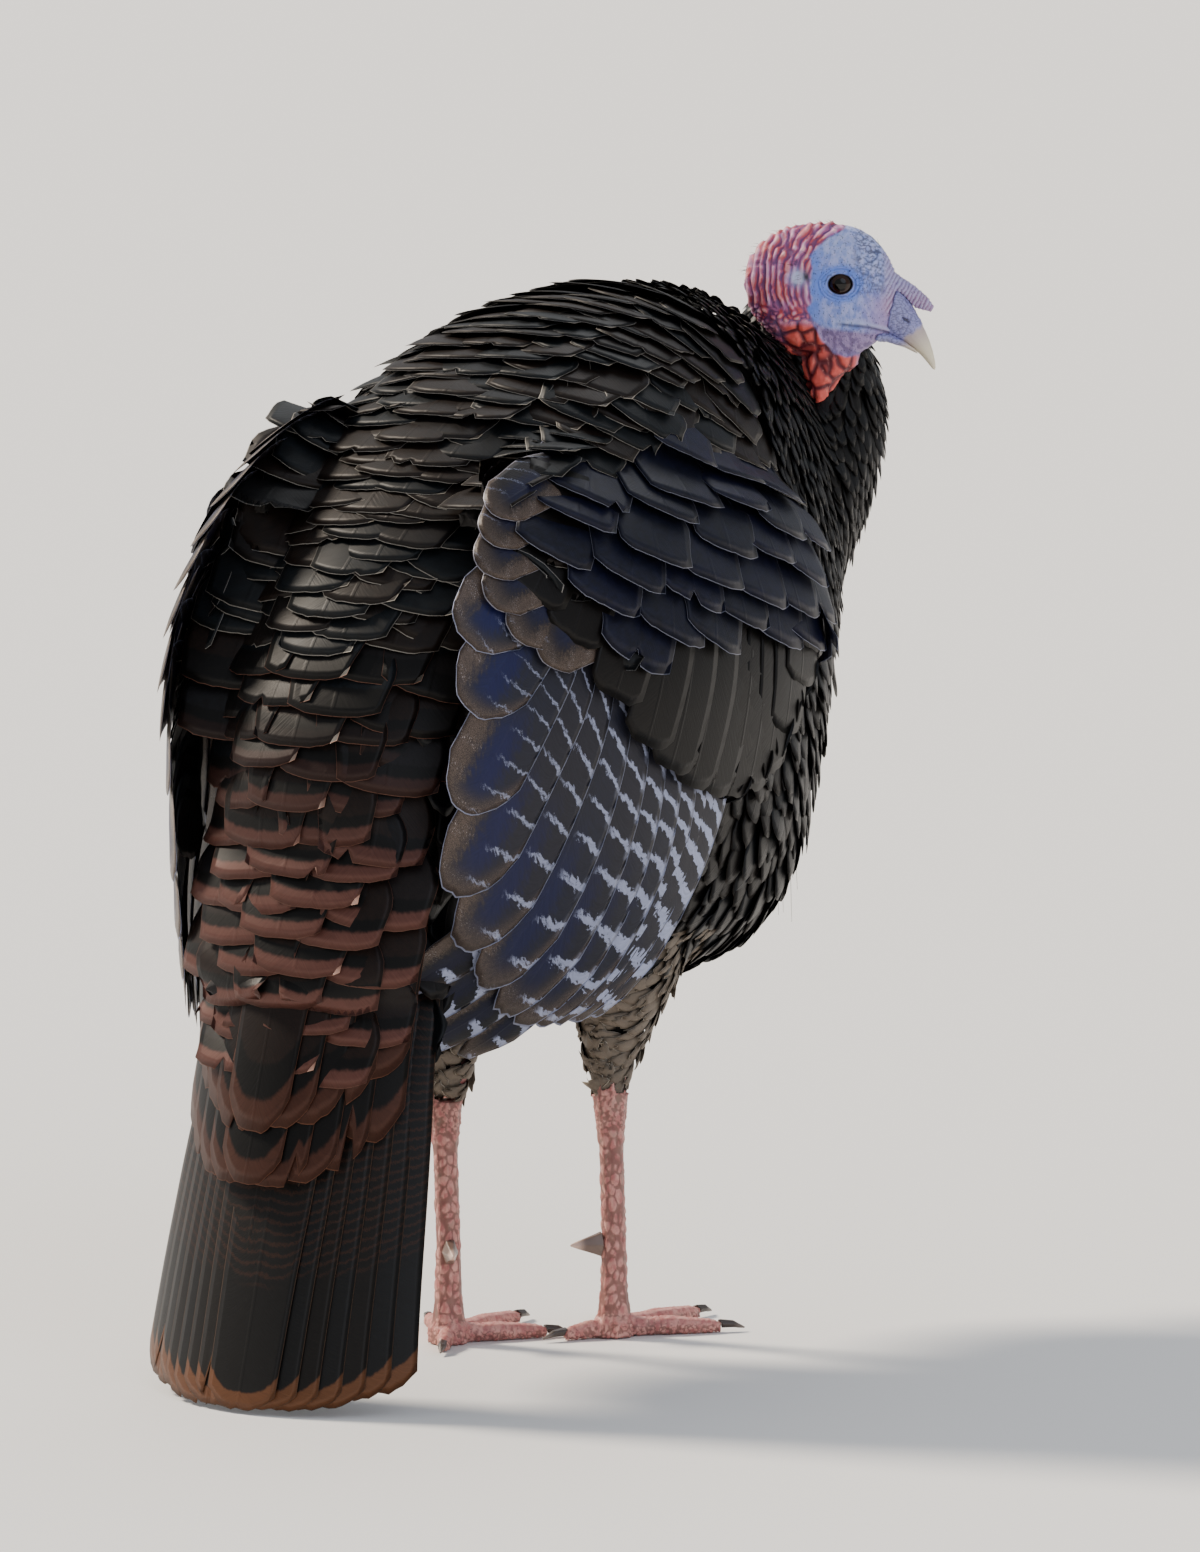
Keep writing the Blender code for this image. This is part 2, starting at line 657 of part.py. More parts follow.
def make_shank(word, foot):
    """The bare, scaly shank with its thick hock."""
    rings = []
    for forward, up, half_depth, half_width in SHANK_SECTIONS:
        front = place(foot[0], foot[1] + forward + half_depth, up)
        back = place(foot[0], foot[1] + forward - half_depth, up)
        rings.append(ring(front, back, ACROSS, half_width, 8))
    return loft(f"shank_{word}", rings)


def make_spur(word, side, foot, shank):
    """The horny spur on the back of the shank, turned towards the other leg."""
    turn = math.radians(SPUR_TURN)
    tip = Vector((-side * math.sin(turn), -math.cos(turn)))
    rings = []
    for share, height, half_width in SPUR_SECTIONS:
        reach = SPUR_SUNK + share * SPUR_LENGTH
        spot = (foot[0] + tip.x * reach, foot[1] + tip.y * reach)
        top = place(*spot, SPUR_HEIGHT + height)
        bottom = place(*spot, SPUR_HEIGHT - height)
        rings.append(ring(top, bottom, Vector((tip.y, -tip.x, 0)), half_width, 6))
    spur = loft(f"spur_{word}", rings)
    carve(spur, shank)
    return dressed(spur, HORN, 0.4)


def toe_rings(foot, heading, length, radius):
    """Sections of one toe: knuckled, flat below, ending in a blunt pad."""
    rings = []
    for share, swell, height in TOE_SECTIONS:
        centre = Vector(foot) + heading * length * share
        top = place(centre.x, centre.y, height)
        bottom = place(centre.x, centre.y, SOLE - SOLE_CUT)
        side = Vector((-heading.y, heading.x, 0))
        rings.append(ring(top, bottom, side, radius * swell, 7, 2.2))
    return rings


def make_foot(word, side, foot):
    """Four toes spread from one pad, with a claw on each."""
    claws = []
    toes = []
    for name, degrees, length, radius in TOES:
        turn = math.radians(degrees) * side
        heading = Vector((math.sin(turn), math.cos(turn)))
        toes.append(loft(f"toe_{name}", toe_rings(foot, heading, length, radius)))
        rings = []
        for share, half, height in CLAW_SECTIONS:
            centre = Vector(foot) + heading * (length + CLAW_LENGTH * share)
            top = place(centre.x, centre.y, height + half)
            bottom = place(centre.x, centre.y, max(height - half, CLAW_CLEARANCE))
            rings.append(ring(top, bottom, Vector((-heading.y, heading.x, 0)), half, 5))
        claws.append(loft(f"claw_{word}_{name}", rings))
    rings = []
    for up, half in PAD_SECTIONS:
        front = place(foot[0], foot[1] + half, up)
        back = place(foot[0], foot[1] - half, up)
        rings.append(ring(front, back, ACROSS, half, 8))
    pad = loft("pad", rings)
    feet = join(toes[0], *toes[1:], pad)
    feet.name = f"foot_{word}"
    stand_flat(feet)
    for claw in claws:
        carve(claw, feet)
        dressed(claw, CLAW_HORN, 0.4)
    return feet


def make_leg(word, side, foot, cutters):
    """Thigh, shank, spur, foot and claws of one leg."""
    thigh = make_thigh(word, side, foot, cutters)
    shank = make_shank(word, foot)
    make_spur(word, side, foot, shank)
    feet = make_foot(word, side, foot)
    carve(shank, thigh, feet)
    dressed(shank, PINK_SCALE)
    dressed(feet, PINK_SCALE)


def make_beard(trunk, neck):
    """The tuft of coarse bristles that hangs from the breast."""
    rings = []
    right, forward, up = BEARD_ROOT
    for share, radius in BEARD_SECTIONS:
        ahead = forward + BEARD_BOW * math.sin(share * math.pi) - BEARD_SWING * share
        depth = radius * BEARD_FLATNESS
        front = place(right, ahead + depth, up - BEARD_LENGTH * share)
        back = place(right, ahead - depth, up - BEARD_LENGTH * share)
        rings.append(ring(front, back, ACROSS, radius, 8))
    beard = loft("beard", rings)
    carve(beard, trunk, neck)
    return dressed(beard, BLACK_FEATHER, 0.8)


def main():
    """Builds the bird from its trunk outwards, so that each part is cut by those it grows from."""
    trunk = make_trunk()
    whole_head, wattle = make_head()
    neck = make_neck(whole_head, trunk)
    carve(wattle, neck)
    right_wing = make_wing("right", 1.0, trunk, neck)
    left_wing = make_wing("left", -1.0, trunk, neck)
    tail = make_tail(trunk, (right_wing, left_wing))
    make_leg("right", 1.0, FOOT_RIGHT, (trunk, *right_wing))
    make_leg("left", -1.0, FOOT_LEFT, (trunk, *left_wing, tail[0]))
    make_beard(trunk, neck)


for leftover in list(bpy.data.objects):
    bpy.data.objects.remove(leftover)
PARTS = bpy.data.collections.new("wild_turkey")
CUTTERS = bpy.data.collections.new("cutters")
for group in (PARTS, CUTTERS):
    bpy.context.scene.collection.children.link(group)
main()
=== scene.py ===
"""The looks of a life-size adult male wild turkey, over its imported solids.

One skin stands for the flesh. Feathers of solid mesh cover it in tracts that follow the lie of
the plumage: neck, mantle and back, breast, belly, wing coverts, flight feathers, tail and its
coverts, and thighs. Eyes, bill, spurs and claws are pieces of their own.
"""

import logging
import math
from collections.abc import Callable, Sequence
from dataclasses import dataclass

import bmesh
import bpy
import numpy as np
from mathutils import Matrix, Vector, noise
from mathutils.bvhtree import BVHTree


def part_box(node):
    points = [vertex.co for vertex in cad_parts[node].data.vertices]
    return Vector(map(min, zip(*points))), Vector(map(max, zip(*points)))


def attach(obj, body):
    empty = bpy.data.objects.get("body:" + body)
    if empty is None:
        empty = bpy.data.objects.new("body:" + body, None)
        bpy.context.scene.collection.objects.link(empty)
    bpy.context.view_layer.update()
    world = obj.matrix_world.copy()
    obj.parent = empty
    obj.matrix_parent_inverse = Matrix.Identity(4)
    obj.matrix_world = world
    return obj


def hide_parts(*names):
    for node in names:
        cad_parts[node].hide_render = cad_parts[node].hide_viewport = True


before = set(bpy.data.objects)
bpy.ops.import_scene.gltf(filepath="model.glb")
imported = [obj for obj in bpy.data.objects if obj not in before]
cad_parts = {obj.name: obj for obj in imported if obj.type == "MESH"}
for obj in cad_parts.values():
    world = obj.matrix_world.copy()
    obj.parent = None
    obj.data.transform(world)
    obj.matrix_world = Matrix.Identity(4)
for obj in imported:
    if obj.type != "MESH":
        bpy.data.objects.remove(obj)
LOG = logging.getLogger("wild_turkey")
MM = 0.001

# --- Where the solids are --------------------------------------------------------------------
SET_BACK = 0.011  # the solids are moved back by this much, to centre their box
HEAD_AT = (0.070, 0.230, 0.621)  # right, forward, up: between the eyes
HEAD_TURN = math.radians(57.0)  # the head looks this far to the bird's right of forward


def to_frame(points: np.ndarray) -> np.ndarray:
    """Turns the bird's right, forward, up into the frame's x, y, z.

    Args:
        points: An array whose last axis holds right, forward, up in metres.

    Returns:
        The same points in the frame.
    """
    points = np.asarray(points, float)
    return np.stack((-points[..., 0], SET_BACK - points[..., 1], points[..., 2]), -1)


def to_bird(points: np.ndarray) -> np.ndarray:
    """Turns the frame's x, y, z into the bird's right, forward, up: the same turn undoes itself."""
    return to_frame(points)


def unit(vectors: np.ndarray) -> np.ndarray:
    """Scales vectors, on the last axis, to a length of one."""
    return vectors / np.maximum(np.linalg.norm(vectors, axis=-1, keepdims=True), 1e-9)


def ramp(low: float, high: float, value: np.ndarray) -> np.ndarray:
    """Rises smoothly from 0 at low to 1 at high."""
    share = np.clip((np.asarray(value, float) - low) / (high - low), 0.0, 1.0)
    return share * share * (3.0 - 2.0 * share)


def through(points: Sequence[Sequence[float]], share: np.ndarray | float) -> np.ndarray:
    """Gives points on a smooth curve.

    Args:
        points: The points that the curve passes through, at equal shares.
        share: How far along the curve, from 0 to 1.

    Returns:
        The points there, on a new last axis.
    """
    knots = np.asarray(points, float)
    spans = len(knots) - 1
    at = np.clip(np.asarray(share, float), 0.0, 1.0) * spans
    index = np.minimum(at.astype(int), spans - 1)
    t = (at - index)[..., None]
    a, b, c, d = (knots[np.clip(index + step, 0, spans)] for step in (-1, 0, 1, 2))
    return 0.5 * (2 * b + (c - a) * t + (2 * a - 5 * b + 4 * c - d) * t**2 + (3 * b - a - 3 * c + d) * t**3)


def heading(points: Sequence[Sequence[float]], share: np.ndarray | float) -> np.ndarray:
    """Gives the direction of that curve there; see through."""
    return unit(through(points, share + 0.01) - through(points, share - 0.01))


# --- Finishes --------------------------------------------------------------------------------
def linear(hex_code: str) -> tuple[float, float, float, float]:
    """Turns an sRGB hex value into a linear colour.

    Args:
        hex_code: Six hexadecimal digits after a #.

    Returns:
        Linear red, green, blue and an alpha of one.
    """
    parts = [int(hex_code[i : i + 2], 16) / 255.0 for i in (1, 3, 5)]
    red, green, blue = (p / 12.92 if p <= 0.04045 else ((p + 0.055) / 1.055) ** 2.4 for p in parts)
    return red, green, blue, 1.0


@dataclass(frozen=True)
class Value:
    """What one output of a node gives; numbers among them can be reckoned with."""

    paint: "Paint"
    socket: bpy.types.NodeSocket

    def reckon(self, operation: str, *others: object) -> "Value":
        """Gives the result of one operation on this value and others."""
        return self.paint.add("Math", self, *others, operation=operation)

    def __add__(self, other: object) -> "Value":
        """Adds."""
        return self.reckon("ADD", other)

    def __sub__(self, other: object) -> "Value":
        """Subtracts."""
        return self.reckon("SUBTRACT", other)

    def __rsub__(self, other: float) -> "Value":
        """Subtracts this value from a number."""
        return self.paint.add("Math", other, self, operation="SUBTRACT")

    def __mul__(self, other: object) -> "Value":
        """Multiplies."""
        return self.reckon("MULTIPLY", other)

    def __pow__(self, power: float) -> "Value":
        """Raises to a power."""
        return self.reckon("POWER", power)

    def __abs__(self) -> "Value":
        """Drops the sign."""
        return self.reckon("ABSOLUTE")

    def most(self, other: object) -> "Value":
        """Gives the larger of two values."""
        return self.reckon("MAXIMUM", other)

    def rise(self, low: float, high: float) -> "Value":
        """Rises smoothly from 0 at low to 1 at high."""
        return self.paint.add("MapRange", self, low, high, 0.0, 1.0, interpolation_type="SMOOTHSTEP")

    def fall(self, low: float, high: float) -> "Value":
        """Falls smoothly from 1 at low to 0 at high."""
        return 1.0 - self.rise(low, high)


class Paint:
    """One material while it is made: its nodes and its shader.

    A texture with no coordinates of its own takes its Scale over each side of the piece's box.
    """

    def __init__(self, name: str, roughness: float, **constants: float) -> None:
        """Starts the material.

        Args:
            name: The real finish that it stands for.
            roughness: Its roughness.
            **constants: More constant sockets of its shader, with _ for a space.
        """
        self.material = bpy.data.materials.new(name)
        self.material.use_nodes = True
        self.tree = self.material.node_tree
        self.shader = self.tree.nodes["Principled BSDF"]
        for key, value in {"Roughness": roughness, **constants}.items():
            self.shader.inputs[key.replace("_", " ")].default_value = value

    def add(self, kind: str, *sockets: object, output: int | str = 0, **settings: object) -> Value:
        """Adds one node with its settings and links.

        Args:
            kind: The node's type, without its ShaderNode prefix.
            *sockets: Its inputs in order: a Value is linked, None leaves one as it is.
            output: Which of its outputs is wanted.
            **settings: Its properties, and more inputs by name.

        Returns:
            What that output gives.
        """
        node = self.tree.nodes.new("ShaderNode" + kind)
        inputs = list(enumerate(sockets))
        for key, value in settings.items():
            if hasattr(node, key):
                setattr(node, key, value)
            else:
                inputs.append((key, value))
        for key, value in inputs:
            if isinstance(value, Value):
                self.tree.links.new(value.socket, node.inputs[key])
            elif value is not None:
                node.inputs[key].default_value = value
        return Value(self, node.outputs[output])

    def read(self, name: str) -> Value:
        """Reads one of the piece's own numbers."""
        return self.add("Attribute", attribute_name=name, output="Fac")

    def lay(self, ground: object, *coats: tuple[object, object]) -> Value:
        """Lays colours over one another.

        Args:
            ground: The first colour, a hex value or a Value.
            *coats: For each next one, how much of it shows, and its colour.

        Returns:
            The colour on top.
        """
        for share, colour in coats:
            ground, colour = (linear(side) if isinstance(side, str) else side for side in (ground, colour))
            ground = self.add("Mix", share, *[None] * 5, ground, colour, output=2, data_type="RGBA")
        return ground

    def done(
        self, colour: Value, strength: float = 0.0, distance: float = 0.0, height: Value | None = None
    ) -> bpy.types.Material:
        """Links the colour and the bump.

        Args:
            colour: The base colour.
            strength: The strength of the bump.
            distance: Its depth in metres.
            height: Its height, or None for a smooth surface.

        Returns:
            The finished material.
        """
        self.tree.links.new(colour.socket, self.shader.inputs["Base Color"])
        if height is not None:
            bump = self.add("Bump", Strength=strength, Distance=distance, Height=height)
            self.tree.links.new(bump.socket, self.shader.inputs["Normal"])
        return self.material


@dataclass(frozen=True)
class Facts:
    """What a feather's finish knows of each place: lengths are millimetres, and the rest shares."""

    across: Value
    tip: Value
    off: Value
    tone: Value
    order: Value
    noise: Value
    barbs: Value


@dataclass(frozen=True)
class VaneFinish:
    """Keratin of a contour feather: silky barbs, a dark shaft and an edge of its own colour; on the mantle
    that edge is pale grey, partly a fringe and partly painted highlight.

    Melanin makes it nearly black, and thin layers over that give bronze, green and blue glints.
    """

    name: str
    base: str = "#0B0A0A"
    glint_a: str = "#2A1A12"
    glint_b: str = "#10202A"
    edge: str = "#5A5048"
    glint: float = 0.5
    edge_width: float = 0.8
    roughness: float = 0.44
    metallic: float = 0.15
    length: float = 45.0
    width: float = 40.0
    mirrored: bool = False

    def markings(self, paint: Paint, facts: Facts, colour: Value) -> Value:
        """Adds this finish's own bars and bands, of which the plain one has none.

        Args:
            paint: The material.
            facts: What it knows of each place on the feather.
            colour: The colour so far.

        Returns:
            The colour with its markings.
        """
        return colour

    def material(self) -> bpy.types.Material:
        """Makes the material, which reads the Vane map and the numbers of each feather."""
        paint = Paint(self.name, self.roughness, Specular_IOR_Level=0.24, Metallic=self.metallic)
        vane = paint.add("UVMap", uv_map="Vane")
        across, along = (paint.add("SeparateXYZ", vane, output=axis) for axis in (0, 1))
        if self.mirrored:
            across = 1.0 - across
        off = abs(across - 0.5)
        root = along * self.length
        tip = self.length - root
        tone, noise = paint.read("Tone"), paint.add("TexNoise", Scale=55.0, Detail=3.0)
        # the barbs run out from the shaft towards the tip, and catch the light in fine lines
        run = root - off * (self.width * 1.1)
        lines = paint.add("CombineXYZ", run * 1.1, across * 5.0, tone * 60.0)
        barbs = paint.add("TexNoise", lines, Scale=1.0, Detail=3.0) * 4.0 - 2.0
        facts = Facts(across, tip, off, tone, paint.read("Order"), noise, barbs)
        glint = paint.lay(self.glint_a, (tone.rise(0.3, 0.8), self.glint_b))
        colour = self.markings(paint, facts, paint.lay(self.base, (noise * self.glint, glint)))
        brim = self.edge_width * 0.7 / self.width
        side = off.rise(0.5 - brim, 0.5 - brim * 0.4)
        edge = tip.fall(self.edge_width * 0.5, self.edge_width).most(side * 0.7)
        colour = paint.lay(colour, (edge, self.edge))
        colour = paint.add("HueSaturation", Color=colour, Value=barbs * 0.14 + 0.94)
        return paint.done(colour, 0.3, 0.0004, barbs * 0.3 + off.fall(0.008, 0.03))


@dataclass(frozen=True)
class CopperVane(VaneFinish):
    """A rump or tail covert: a copper tip, a black bar behind it, and finely mottled brown within.

    Order runs from 0 at the back, where the tip is only a bronze line, to 1 at the tail.
    """

    copper: str = "#56362F"
    bar: str = "#060505"
    band: float = 11.0
    bar_width: float = 6.0

    def markings(self, paint: Paint, facts: Facts, colour: Value) -> Value:
        """Adds the copper band and the black bar; see VaneFinish.markings."""
        tip = facts.tip + (facts.noise * 3.0 - 1.5)
        mottle = paint.add("TexNoise", Scale=900.0, Detail=2.0).rise(0.5, 0.62)
        bar_end = self.band + self.bar_width
        band = tip.fall(self.band - 2.0, self.band + 1.0)
        return paint.lay(
            colour,
            (mottle * facts.order, "#241510"),
            (tip.fall(bar_end, bar_end + 2.0), self.bar),
            (band * facts.order.rise(0.05, 0.6), self.copper),
        )


@dataclass(frozen=True)
class TailVane(VaneFinish):
    """A tail feather: a buff tip, a broad black band, and narrow wavy chestnut bars above it."""

    buff: str = "#5C3A24"

    def markings(self, paint: Paint, facts: Facts, colour: Value) -> Value:
        """Adds the bands; see VaneFinish.markings."""
        tip = facts.tip + (facts.noise * 4.0 - 2.0)
        waves = ((tip + facts.off * 14.0) * 1.05).reckon("SINE")
        bars = (waves * 0.25 + paint.add("TexNoise", Scale=380.0, Detail=3.0)).rise(0.55, 0.75)
        return paint.lay(colour, (bars * tip.rise(74.0, 84.0), "#2A1912"), (tip.fall(14.0, 16.5), self.buff))


@dataclass(frozen=True)
class BarredVane(VaneFinish):
    """A flight feather: slate brown, blue in the middle, with short white bars on its outer vane.

    Order runs from 0 at the innermost, brown and mottled, to 1 at the outermost, mostly white.
    """

    brown: str = "#2C2422"
    fleck: str = "#7E6D60"
    blue: str = "#151A44"
    white: str = "#A3AAC6"
    spacing: float = 15.5

    def markings(self, paint: Paint, facts: Facts, colour: Value) -> Value:
        """Adds mottling, blue and bars; see VaneFinish.markings."""
        across, order, tip = facts.across, facts.order, facts.tip
        place = across + (facts.noise * 0.3 - 0.15)
        middle = place.rise(0.18, 0.42) * place.fall(0.52, 0.74)
        deep = tip.rise(6.0, 24.0) * ((1.0 - order) * tip.fall(40.0, 75.0))
        zone = place.rise(0.60, 0.84).most(tip.fall(4.0, 18.0) * 0.7)
        mottle = paint.add("TexNoise", Scale=950.0, Detail=4.0).rise(0.46, 0.60) * zone
        # the bars start thin at the shaft and hook down along the outer edge
        run = tip + (facts.off * 2.0) ** 2.4 * 27.0 + facts.noise * 7.0 + facts.tone * self.spacing
        streak = paint.add("TexNoise", Scale=600.0, Detail=2.0) * 0.5 - 0.25
        wave = (run * (2 * math.pi / self.spacing)).reckon("SINE") + streak + facts.barbs * 0.08
        gain = order**1.7 * 0.74 + 0.12
        shelf = 1.0 - across.rise(0.04, 0.44) * 0.55
        bar = (wave - (1.02 - shelf * gain)).rise(0.0, 0.16)
        outer = across.fall(0.36, 0.50) * (order * 0.40 + 0.55)
        # on the outer feathers a white line runs down the edge and ties the bars together
        brink = across.fall(0.03, 0.10) * (order.rise(0.3, 0.8) * wave.rise(-0.7, 0.3))
        # a few white flecks lie among the brown
        flecks = paint.add("TexNoise", Scale=260.0, Detail=2.0).rise(0.62, 0.68)
        flecks = flecks * wave.rise(0.1, 0.7) * (zone * 0.7)
        return paint.lay(
            colour,
            (middle * deep, self.blue),
            (zone * 0.85, self.brown),
            (mottle * 0.75, self.fleck),
            (bar * outer, self.white),
            (brink * 0.8, self.white),
            (flecks, "#B9AFAE"),
        )


@dataclass(frozen=True)
class BareSkin:
    """Bare skin of head and wattles: blue on the face, red on the caruncles, moist and soft, with a painted
    highlight on the tops of the caruncles and painted sheen on the wattles.
    """

    name: str = "bare_head_skin"

    def material(self) -> bpy.types.Material:
        """Makes the material, which reads the zone numbers stored on the skin."""
        soft = {"Subsurface_Weight": 0.12, "Subsurface_Scale": 0.004}
        paint = Paint(self.name, 0.46, Specular_IOR_Level=0.45, **soft)
        coarse = paint.add("TexNoise", Scale=130.0, Detail=4.0)
        broad = paint.add("TexNoise", Scale=60.0, Detail=2.0).rise(0.4, 0.6)
        blue, pink, pale = (paint.read(zone) for zone in ("Blue", "Pink", "Pale"))
        red, wattle, pouch = (paint.read(zone) for zone in ("Red", "Wattle", "Pouch"))
        ridge, dark, crack = (paint.read(zone) for zone in ("Ridge", "Dark", "Crack"))
        face = paint.lay(
            "#7287CF",
            (coarse.rise(0.35, 0.65), "#A9B0E6"),
            (blue * 0.85, "#6488E6"),
            (pink, "#AE86B4"),
            (pale, "#C3CCF0"),
        )
        top = paint.lay("#E08E94", (broad, "#D6A0C6"))
        flank = paint.lay("#C24A56", (broad, "#AC6090"))
        folds = paint.lay(
            flank,
            (ridge.rise(0.35, 0.8), top),
            # the nearly white tops of the highest caruncles are a painted highlight
            (ridge.rise(0.86, 1.0) * 0.6, "#F6CCCC"),
            (ridge.fall(0.02, 0.35) * 0.8, "#5A3C72"),
        )
        # pale salmon spots on the wattles: painted sheen of wet skin
        painted_wet_sheen = coarse.rise(0.58, 0.7) * 0.3
        lobes = paint.lay("#641C28", (ridge.rise(0.1, 0.75), "#DC5C52"), (painted_wet_sheen, "#F0A090"))
        throat = paint.lay("#74608E", (coarse.rise(0.4, 0.6), "#9E88B8"))
        # black specks up to about 1 mm across: the stubs of hair-like feathers
        dots = paint.add("TexVoronoi", Scale=330.0, output="Distance").fall(0.15, 0.28)
        here = paint.add("TexNoise", Scale=150.0, Detail=1.0).rise(0.40, 0.5)
        speck = dots * here * ((1.0 - red.most(wattle)) * 0.85)
        # the Dark zone also holds painted shade in the creases round the eyes, besides the dark rims of the
        # lids
        black = speck.most(dark.most(crack))
        colour = paint.lay(face, (red, folds), (wattle, lobes), (pouch, throat), (black, "#1A1726"))
        pebbles = paint.add("TexVoronoi", Scale=760.0, output="Distance")
        return paint.done(colour, 0.5, 0.0005, 1.0 - pebbles)


@dataclass(frozen=True)
class LegSkin:
    """Scaly skin of the legs: dull pink-red plates with grey-brown lines between them."""

    name: str = "scaly_leg_skin"

    def material(self) -> bpy.types.Material:
        """Makes the material, which reads the Plate number: 0 between the plates."""
        paint = Paint(self.name, 0.5, Specular_IOR_Level=0.4)
        grain = paint.add("TexNoise", Scale=120.0, Detail=4.0)
        line = paint.read("Plate").fall(0.05, 0.45) * 0.75
        dirt = paint.add("TexNoise", Scale=60.0, Detail=5.0).rise(0.55, 0.7) * 0.5
        colour = paint.lay("#B06A66", (grain.rise(0.3, 0.7), "#D69C90"), (line, "#6E4A42"), (dirt, "#7A685C"))
        return paint.done(colour, 0.3, 0.0004, grain)


@dataclass(frozen=True)
class Horn:
    """Horn of spurs and claws: smooth, faintly streaked, paler at the tip.

    It reads the Share number, 0 at the root and 1 at the tip.
    """

    name: str
    root: str
    tip: str
    roughness: float

    def material(self) -> bpy.types.Material:
        """Makes the material."""
        paint = Paint(self.name, self.roughness, Specular_IOR_Level=0.5, Coat_Weight=0.15, Coat_Roughness=0.2)
        streak = paint.add("TexNoise", Scale=350.0, Detail=3.0)
        share = paint.read("Share") + (streak * 0.2 - 0.1)
        return paint.done(paint.lay(self.root, (share.rise(0.5, 0.85), self.tip)), 0.15, 0.0003, streak)


@dataclass(frozen=True)
class BillHorn:
    """Cream horn at the hooked tip of the bill, and wrinkled blue skin over its root.

    It reads Share (0 to 1 along the horn), Cere (how much skin) and Dark (creases and nostril).
    """

    name: str = "bill_horn"

    def material(self) -> bpy.types.Material:
        """Makes the material."""
        paint = Paint(self.name, 0.42, Specular_IOR_Level=0.45, Coat_Weight=0.12, Coat_Roughness=0.25)
        streak = paint.add("TexNoise", Scale=350.0, Detail=3.0)
        share = paint.read("Share").rise(0.0, 0.7)
        horn = paint.lay("#B7A6A8", (share, "#E6DCC2"), (streak.rise(0.55, 0.75), "#A89A88"))
        skin = paint.lay("#6F7CBC", (streak.rise(0.35, 0.6), "#A6A0D0"))
        colour = paint.lay(horn, (paint.read("Cere"), skin), (paint.read("Dark") * 0.85, "#1E1A2C"))
        return paint.done(colour, 0.2, 0.0003, streak)


@dataclass(frozen=True)
class WetEye:
    """The wet eye: nearly black brown with a darker pupil, under a clear glossy film."""

    name: str = "wet_brown_eye"

    def material(self) -> bpy.types.Material:
        """Makes the material, which reads the Off number: the angle from the line of sight."""
        paint = Paint(self.name, 0.12, Coat_Weight=0.22, Coat_Roughness=0.04, Specular_IOR_Level=0.2)
        off = paint.read("Off")
        iris = paint.lay("#1C0C06", (paint.add("TexNoise", Scale=900.0, Detail=2.0), "#2E160B"))
        colour = paint.lay("#020202", (off.rise(0.40, 0.45), iris), (off.rise(0.70, 0.78), "#120A08"))
        return paint.done(colour)


@dataclass(frozen=True)
class Plain:
    """A plain matt finish of two close colours, for paper, for down and for bristles."""

    name: str
    colour: str
    other: str
    roughness: float = 0.8
    scale: float = 300.0
    detail: float = 3.0

    def material(self) -> bpy.types.Material:
        """Makes the material."""
        paint = Paint(self.name, self.roughness)
        share = paint.add("TexNoise", Scale=self.scale, Detail=self.detail)
        return paint.done(paint.lay(self.colour, (share, self.other)))


# --- Mesh helpers ----------------------------------------------------------------------------
def mesh_object(name: str, points: np.ndarray, faces: np.ndarray) -> bpy.types.Object:
    """Makes an object from arrays.

    Args:
        name: The piece's name.
        points: Its vertices, an array of (count, 3).
        faces: Its quads, an array of (count, 4).

    Returns:
        The object, linked to the scene, with smooth shading.
    """
    mesh = bpy.data.meshes.new(name)
    mesh.vertices.add(len(points))
    mesh.vertices.foreach_set("co", np.asarray(points, np.float32).ravel())
    mesh.loops.add(faces.size)
    mesh.loops.foreach_set("vertex_index", np.asarray(faces, np.int32).ravel())
    mesh.polygons.add(len(faces))
    mesh.polygons.foreach_set("loop_start", np.arange(len(faces), dtype=np.int32) * faces.shape[1])
    mesh.polygons.foreach_set("use_smooth", np.ones(len(faces), bool))
    mesh.update(calc_edges=True)
    made = bpy.data.objects.new(name, mesh)
    bpy.context.scene.collection.objects.link(made)
    return made


def put_number(obj: bpy.types.Object, name: str, values: np.ndarray) -> None:
    """Stores a number for each vertex."""
    layer = obj.data.attributes.new(name, "FLOAT", "POINT")
    layer.data.foreach_set("value", np.asarray(values, np.float32).ravel())


def got(items: object, key: str, kind: type, width: int = 1) -> np.ndarray:
    """Reads one property of many mesh items.

    Args:
        items: The vertices, loops, faces or normals.
        key: The property's name.
        kind: The type of its numbers.
        width: How many numbers each item has.

    Returns:
        The numbers, flat where each item has one.
    """
    values = np.empty(len(items) * width, kind)
    items.foreach_get(key, values)
    return values if width == 1 else values.reshape(-1, width)


def put_map(obj: bpy.types.Object, name: str, coordinates: np.ndarray) -> None:
    """Stores a UV map from the coordinates of each vertex."""
    corners = got(obj.data.loops, "vertex_index", np.int32)
    layer = obj.data.uv_layers.new(name=name)
    layer.data.foreach_set("uv", np.asarray(coordinates, np.float32)[corners].ravel())


def points_of(obj: bpy.types.Object) -> np.ndarray:
    """Reads the vertices of an object."""
    return got(obj.data.vertices, "co", np.float32, 3).astype(float)


def normals_of(obj: bpy.types.Object) -> np.ndarray:
    """Reads the vertex normals of an object."""
    return got(obj.data.vertex_normals, "vector", np.float32, 3).astype(float)


def set_points(obj: bpy.types.Object, points: np.ndarray) -> None:
    """Moves the vertices of an object."""
    obj.data.vertices.foreach_set("co", np.asarray(points, np.float32).ravel())
    obj.data.update()


def only(obj: bpy.types.Object) -> None:
    """Selects one object and makes it active."""
    bpy.ops.object.select_all(action="DESELECT")
    obj.select_set(True)
    bpy.context.view_layer.objects.active = obj


